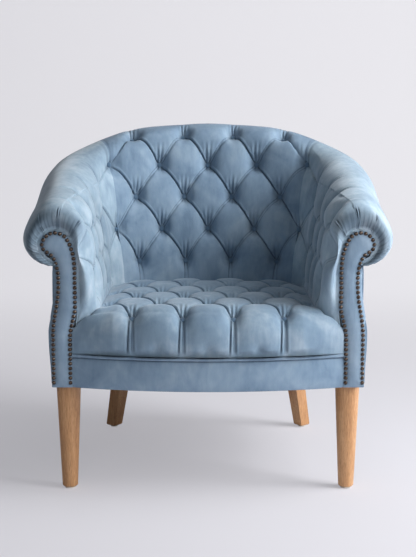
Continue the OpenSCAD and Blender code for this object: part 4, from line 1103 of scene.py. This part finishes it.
# points set at even steps along a line
def resample(line, step, closed=False):
    if closed:
        line = np.concatenate([line, line[:1]])
    run = np.concatenate([[0], np.cumsum(np.linalg.norm(np.diff(line, axis=0), axis=1))])
    at = np.linspace(0, run[-1], max(2, int(round(run[-1] / step))) + 1)
    out = np.stack([np.interp(at, run, line[:, i]) for i in range(line.shape[1])], -1)
    return out[:-1] if closed else out


def insetLine(line, by):
    d = np.gradient(line, axis=0)
    d = d / np.linalg.norm(d, axis=1, keepdims=True)
    return line + by * np.stack([d[:, 1], -d[:, 0]], -1)


def insideRing(points, ring):
    ends = np.roll(ring, -1, 0)
    x, z = points[:, 0, None], points[:, 1, None]
    rise = ends[:, 1] - ring[:, 1]
    crossX = (ends[:, 0] - ring[:, 0]) * (z - ring[:, 1]) / np.where(rise == 0, 1e-9, rise) + ring[:, 0]
    return (((ring[:, 1] > z) != (ends[:, 1] > z)) & (x < crossX)).sum(1) % 2 == 1


def ringDistance(points, ring):
    e = np.roll(ring, -1, 0) - ring
    away = points[:, None, :] - ring[None]
    t = np.clip((away * e).sum(-1) / (e * e).sum(-1), 0, 1)
    return np.linalg.norm(away - t[..., None] * e, axis=-1).min(1)


# edges that belong to one triangle only
def openEdges(tris):
    edges = {}
    for tri in tris:
        for i in range(3):
            a, b = int(tri[i]), int(tri[(i + 1) % 3])
            if edges.pop((b, a), None) is None:
                edges[(a, b)] = True
    return edges


# a padded panel from an outline in x and z: crowned front at frontAt, flat back at backAt
def paddedPanel(name, outline, step, frontAt, backAt, dimples):
    ring = resample(outline, step, True)
    low, high = ring.min(0), ring.max(0)
    rowStep = step * 0.866
    inner = np.array([(low[0] + (i + 0.5 * (j % 2)) * step, low[1] + (j + 0.5) * rowStep)
                      for j in range(int((high[1] - low[1]) / rowStep) + 1)
                      for i in range(int((high[0] - low[0]) / step) + 1)])
    inner = inner[insideRing(inner, ring)]
    inner = inner[ringDistance(inner, ring) > step * 0.6]
    count = len(ring)
    flat = [Vector(p) for p in np.concatenate([ring, inner])]
    result = delaunay_2d_cdt(flat, [(i, (i + 1) % count) for i in range(count)], [], 1, 1e-5)
    points = np.array([tuple(p) for p in result[0]])
    tris = [tuple(int(q) for q in f) for f in result[2]]
    x, z = points[:, 0], points[:, 1]
    d = ringDistance(points, ring)
    toNail = np.linalg.norm(points[:, None, :] - dimples[None], axis=-1).min(1)
    y = frontAt + facing["edgeRoll"] * bell(d, 1.6) - facing["bulge"] * (1 - bell(d, 13))
    y = y + facing["ripple"] * wander(x / 21, z / 21, 2.0) * (1 - bell(d, 9)) + facing["dimple"] * bell(toNail, 5.5)
    # the back of the panel reaches out to the outer wall where the front edge curls in
    widen = 6.5 * smooth((np.abs(x) - 328) / 12) * smooth((z - 385) / 30) * (1 - smooth((z - 518) / 14))
    front = np.stack([x, y, z], -1)
    rear = np.stack([x + np.sign(x) * widen, np.full(len(x), backAt), z], -1)
    total = len(points)
    faces = tris + [tuple(q + total for q in f[::-1]) for f in tris]
    faces += [(b, a, a + total, b + total) for a, b in openEdges(tris)]
    # painted shade in a ring round each nail
    return makeMesh(name, np.concatenate([front, rear]), faces, 65, fold=0.75 * bell(toNail, 6.5))


outline = facingOutline()
nailSpots = resample(insetLine(outline, chair["nailDiameter"] / 2 + facing["nailInset"]), chair["nailGap"])[1:-1]
nailHead = domeObject("nailHead", chair["nailDiameter"] / 2 + facing["nailOver"], facing["nailHeight"],
                      rings=4, sides=12, skirt=0.4)
for side, sign in (("Left", -1), ("Right", 1)):
    mirror = np.array([sign, 1])
    panel = paddedPanel("facing" + side, outline * mirror, facing["mesh"], facingY,
                        facingY + chair["facingThickness"], nailSpots * mirror)
    finish(panel, "velvet", litFacingVelvet, "facing_" + side.lower(), fill=0.9)
    points = [np.array([x, facingY + 0.6, z]) for x, z in nailSpots * mirror]
    nails = setPieces("facingNails" + side, points, [(0, -1, 0)] * len(points), nailHead, bronze,
                      facing["nailTilt"], facing["nailSeed"])
    finish(nails, "nail_brass", bronze, "facing_nails_" + side.lower())
bpy.data.objects.remove(nailHead)
print("facings and nails made")


# outer walls: velvet over wadding and board, drawn in at the bottom and under the roll
outerWall = {
    "height": 300, "side": 400, "round": 1100, "depth": 8.5, "step": 5.0, "ripple": 0.5,
}
bodyLow = chair["legHeight"] + 0.5


def wallTop(s):
    return rollHeight(s) - rollRadius(s) - 3 * gap


def wallSwell(z, top):
    up = z - chair["legHeight"]
    return (-2.4 + 4.7 * smooth(up / 9) + 4.8 * smooth((up - 7) / 112)
            - 10.5 * smooth((up - 125) / 70) - bell(top - z, 10))


def wallPanel(name, outer, outward, tops, node):
    rows = int(outerWall["height"] / outerWall["step"])
    z = mix(bodyLow, tops[:, None], np.linspace(0, 1, rows + 1)[None])
    x, y = outer[:, None, 0], outer[:, None, 1]

    # the wall moved out along its own outward direction
    def moved(by):
        return np.stack([x + outward[:, None, 0] * by, y + outward[:, None, 1] * by, z], -1)

    swell = wallSwell(z, tops[:, None]) + outerWall["ripple"] * wander(x / 60 + y / 55, z / 90, 5.0)
    made = skin(name, moved(swell), moved(0 * z - outerWall["depth"]))
    finish(made, "velvet", velvet, node, fill=0.9)


rearOfFacing = facingY + chair["facingThickness"] + 0.3
counts = np.linspace(2.3, lastCount, 400)
topY = planAt(topPlan, topLength(counts))[:, 1]
for side, sign in (("Left", -1), ("Right", 1)):
    y = np.linspace(rearOfFacing, wallPlan["yc"], int(outerWall["side"] / outerWall["step"]) + 1)
    outer = np.stack([np.full(len(y), sign * halfBody), y], -1)
    outward = np.stack([np.full(len(y), float(sign)), 0 * y], -1)
    tops = wallTop(np.interp(-y, -topY, counts))
    wallPanel("outsideArm" + side, outer, outward, tops, "outside_arm_" + side.lower())
l = np.linspace(-wallPlan["l2"], wallPlan["l2"], int(outerWall["round"] / outerWall["step"]) + 1)
outer = planAt(wallPlan, l)
ahead = planAt(wallPlan, l + 0.5) - planAt(wallPlan, l - 0.5)
outward = np.stack([-ahead[:, 1], ahead[:, 0]], -1) / np.linalg.norm(ahead, axis=1, keepdims=True)
outward = outward * np.sign((outward * outer).sum(1, keepdims=True))
# the same place along the roll, whose plan lies a little inside the wall's
far = np.abs(l)
topSide = np.where(far < wallPlan["l1"], far * topPlan["l1"] / wallPlan["l1"],
                   topPlan["l1"] + (far - wallPlan["l1"]) * topPlan["corner"] / wallPlan["corner"])
counts = np.linspace(0, 3, 400)
tops = wallTop(np.interp(topSide, np.abs(topLength(counts)), counts))
wallPanel("outsideBack", outer, outward, tops, "outside_back")
print("outer walls made")


# front border under the seat, bowed, with one cord of piping along its top
border = {
    "length": 640, "swell": 3.0, "drawnIn": 1.6, "depth": 8.0, "ripple": 0.4, "rows": 19,
    "step": 4.0, "overRail": 1.7,
}
piping = {"radius": 4.7, "rise": 6.9, "inset": 1.0, "steps": 161, "sides": 14}


# points on the bow of the front, from a radius, a turn from the middle and a level
def bowPoints(radius, turn, z):
    radius, turn, z = np.broadcast_arrays(radius, turn, z)
    return np.stack([radius * np.sin(turn), bowCentre - radius * np.cos(turn), z], -1)


turn = np.linspace(-1, 1, int(border["length"] / border["step"]) + 1)[:, None] * math.asin(bowHalf / bowRadius)
z = np.linspace(bodyLow, railTop + border["overRail"], border["rows"])[None]
t = (z - bodyLow) / (z[0, -1] - bodyLow)
crown = np.sqrt(np.clip(np.sin(np.pi * t), 0, None))
wave = border["ripple"] * wander(turn * bowRadius / 45, z / 30, 1.0) * np.sin(np.pi * t)
front = bowRadius - 0.4 + border["swell"] * crown - border["drawnIn"] * (1 - crown) + wave
# painted shade along the top of the border, under the piping
shadeUnderPiping = np.broadcast_to(bell(z - z[0, -1], 1.6), front.shape)
frontBorder = skin("frontBorder", bowPoints(front, turn, z), bowPoints(bowRadius - border["depth"], turn, z), shadeUnderPiping)
finish(frontBorder, "velvet", velvet, "front_border", fill=0.9)


def cordMesh(name, radius, level, steps, sides):
    turns = np.linspace(-1, 1, steps)[:, None] * math.asin((bowHalf - 0.5) / bowRadius)
    q = 2 * np.pi * np.arange(sides)[None] / sides
    points = bowPoints(bowRadius - piping["inset"] + radius * np.cos(q), turns, level + radius * np.sin(q))
    faces = [tuple(range(sides - 1, -1, -1))]
    for i in range(steps - 1):
        a, b = i * sides, (i + 1) * sides
        faces += [(a + k, a + (k + 1) % sides, b + (k + 1) % sides, b + k) for k in range(sides)]
    faces.append(tuple(range((steps - 1) * sides, steps * sides)))
    return makeMesh(name, points.reshape(-1, 3), faces)


cord = cordMesh("frontPiping", piping["radius"], railTop + piping["rise"], piping["steps"], piping["sides"])
finish(cord, "piping", velvet, "front_welt")
print("border and piping made")


# CAD pieces that keep their shape get their finish here
def paint(material, *names):
    for name in names:
        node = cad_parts[name]
        node.data.materials.clear()
        node.data.materials.append(material)


sides = ("left", "right")
paint(oak, *["front_leg_" + a for a in sides], *["rear_leg_" + a for a in sides])
paint(beech, "front_rail", "back_rail", "top_rail", "back_tack_rail",
      *[a + b for a in ("side_rail_", "front_block_", "rear_block_", "arm_post_", "rear_arm_post_", "back_rib_",
                        "back_rib_mid_", "arm_rail_", "corner_rail_", "arm_tack_rail_") for b in sides])
paint(jute, "seat_webbing_long", "seat_webbing_cross", "back_webbing")
paint(felt, "seat_deck")
paint(lining, "dust_cover")
paint(zinc, "hanger_bolts")
paint(nylon, "leg_glides")
print("frame painted")


# pale floor that runs up into a backdrop, in metres, and the powers of the lamps
studio = {
    # floorGlow, wallGlow, glow, wallShare, riseTone and rightTone set the painted light of the sweep
    "paper": "#efeef5", "floorGlow": "#c9c8ce", "wallGlow": "#fbfaff", "glow": 0.6, "wallShare": 0.18,
    "riseFrom": -0.3, "riseTo": 3.2, "riseTone": 0.85, "rightTone": 0.12,
    "floorEnd": 3.2, "sweepRadius": 1.6, "halfWidth": 9.0, "wallHeight": 7.0,
    "key": 99.0, "side": 23.0, "right": 15.5, "front": 13.0, "top": 5.0, "fill": 5.0,
    "world": 0.03, "worldShown": "#e4e3e9",
}


# paper sweep with painted light: the camera sees it partly as a glow that is no lamp, paler where it rises and towards
# the right, which also lightens the chair's shadow
def stageMaterial(name):
    material, tree, bsdf, place = newMaterial(name)
    parts = addNode(tree, "ShaderNodeSeparateXYZ", Vector=place).outputs
    rise = addNode(tree, "ShaderNodeMapRange", {"interpolation_type": "SMOOTHSTEP"}, Value=parts["Y"],
                   From_Min=studio["riseFrom"], From_Max=studio["riseTo"]).outputs[0]
    side = calc(tree, "MULTIPLY", rise, parts["X"])
    tone = calc(tree, "MULTIPLY_ADD", side, studio["rightTone"], calc(tree, "MULTIPLY", rise, studio["riseTone"]))
    colour = ramp(tree, tone, [(0.0, studio["floorGlow"]), (1.0, studio["wallGlow"])])
    wire(tree, bsdf, Base_Color=linear(studio["paper"]), Roughness=0.9, Specular_IOR_Level=0.1)
    glow = addNode(tree, "ShaderNodeEmission", Color=colour, Strength=1.0)
    seen = addNode(tree, "ShaderNodeLightPath").outputs["Is Camera Ray"]
    share = calc(tree, "MULTIPLY", seen, calc(tree, "MULTIPLY_ADD", rise, studio["wallShare"], studio["glow"]))
    both = addNode(tree, "ShaderNodeMixShader", Fac=share, i1=bsdf.outputs[0], i2=glow.outputs[0])
    wire(tree, tree.nodes["Material Output"], Surface=both.outputs[0])
    return material


floorEnd, bendRadius, halfWidth = studio["floorEnd"], studio["sweepRadius"], studio["halfWidth"]
profile = [(-halfWidth, 0.0), (floorEnd, 0.0)]
profile += [(floorEnd + bendRadius * math.sin(g), bendRadius - bendRadius * math.cos(g))
            for g in np.linspace(0, math.pi / 2, 17)[1:]]
profile += [(floorEnd + bendRadius, studio["wallHeight"])]
faces = [(2 * i, 2 * i + 1, 2 * i + 3, 2 * i + 2) for i in range(len(profile) - 1)]
mesh = bpy.data.meshes.new("floor")
mesh.from_pydata([(x, y, z) for y, z in profile for x in (-halfWidth, halfWidth)], [], faces)
mesh.polygons.foreach_set("use_smooth", np.ones(len(faces), bool))
mesh.materials.append(stageMaterial("paperFloor"))
floor = bpy.data.objects.new("floor", mesh)
bpy.context.scene.collection.objects.link(floor)

# the world lights little, and shows as plain paper where the camera looks past the floor
world = bpy.data.worlds.new("studio")
bpy.context.scene.world = world
world.use_nodes = True
tree = world.node_tree
tree.nodes.clear()
ambient = addNode(tree, "ShaderNodeBackground", Color=(0.97, 0.98, 1.0, 1.0), Strength=studio["world"])
shown = addNode(tree, "ShaderNodeBackground", Color=linear(studio["worldShown"]), Strength=1.0)
path = addNode(tree, "ShaderNodeLightPath").outputs
seen = calc(tree, "MAXIMUM", path["Is Camera Ray"], path["Is Glossy Ray"])
seen = calc(tree, "MAXIMUM", seen, path["Is Transmission Ray"])
mixed = addNode(tree, "ShaderNodeMixShader", Fac=seen, i1=ambient.outputs[0], i2=shown.outputs[0])
addNode(tree, "ShaderNodeOutputWorld", Surface=mixed.outputs[0])


def areaLight(name, at, towards, size, power):
    light = bpy.data.lights.new(name, "AREA")
    light.shape = "RECTANGLE"
    light.size, light.size_y = size
    light.energy = power
    lamp = bpy.data.objects.new(name, light)
    lamp.location = at
    lamp.rotation_euler = (Vector(towards) - Vector(at)).to_track_quat("-Z", "Y").to_euler()
    bpy.context.scene.collection.objects.link(lamp)


for name, at, aim, size, power in (
        ("keyRight", (2.5, -1.0, 1.7), 0.5, (1.4, 1.4), "key"),
        ("sideRight", (1.5, -0.2, 1.9), 0.5, (0.9, 0.9), "side"),
        ("frontRight", (1.8, -2.2, 1.5), 0.5, (1.2, 1.2), "right"),
        ("frontSoft", (0.2, -3.2, 1.6), 0.5, (2.0, 1.4), "front"),
        ("topSoft", (0.2, 0.2, 2.8), 0.4, (2.4, 2.0), "top"),
        ("fillLeft", (-2.4, -1.8, 1.4), 0.5, (2.0, 2.0), "fill")):
    areaLight(name, at, (0, 0, aim), size, studio[power])

# the photograph's view: 557 pixels high, focal length 1200 pixels, looking 8 degrees down
view = {"focalPixels": 1200, "longSide": 557, "sensor": 36, "pitch": 8.0, "distance": 3.014, "height": 0.882}
camera = bpy.data.cameras.new("photoView")
camera.sensor_width = view["sensor"]
camera.sensor_fit = "AUTO"
camera.lens = view["focalPixels"] * view["sensor"] / view["longSide"]
camera.clip_end = 50
eye = bpy.data.objects.new("photoView", camera)
eye.location = (0, -view["distance"], view["height"])
eye.rotation_euler = (math.radians(90 - view["pitch"]), 0, 0)
bpy.context.scene.collection.objects.link(eye)
bpy.context.scene.camera = eye
bpy.context.scene.view_settings.view_transform = "Standard"
print("studio and camera set")
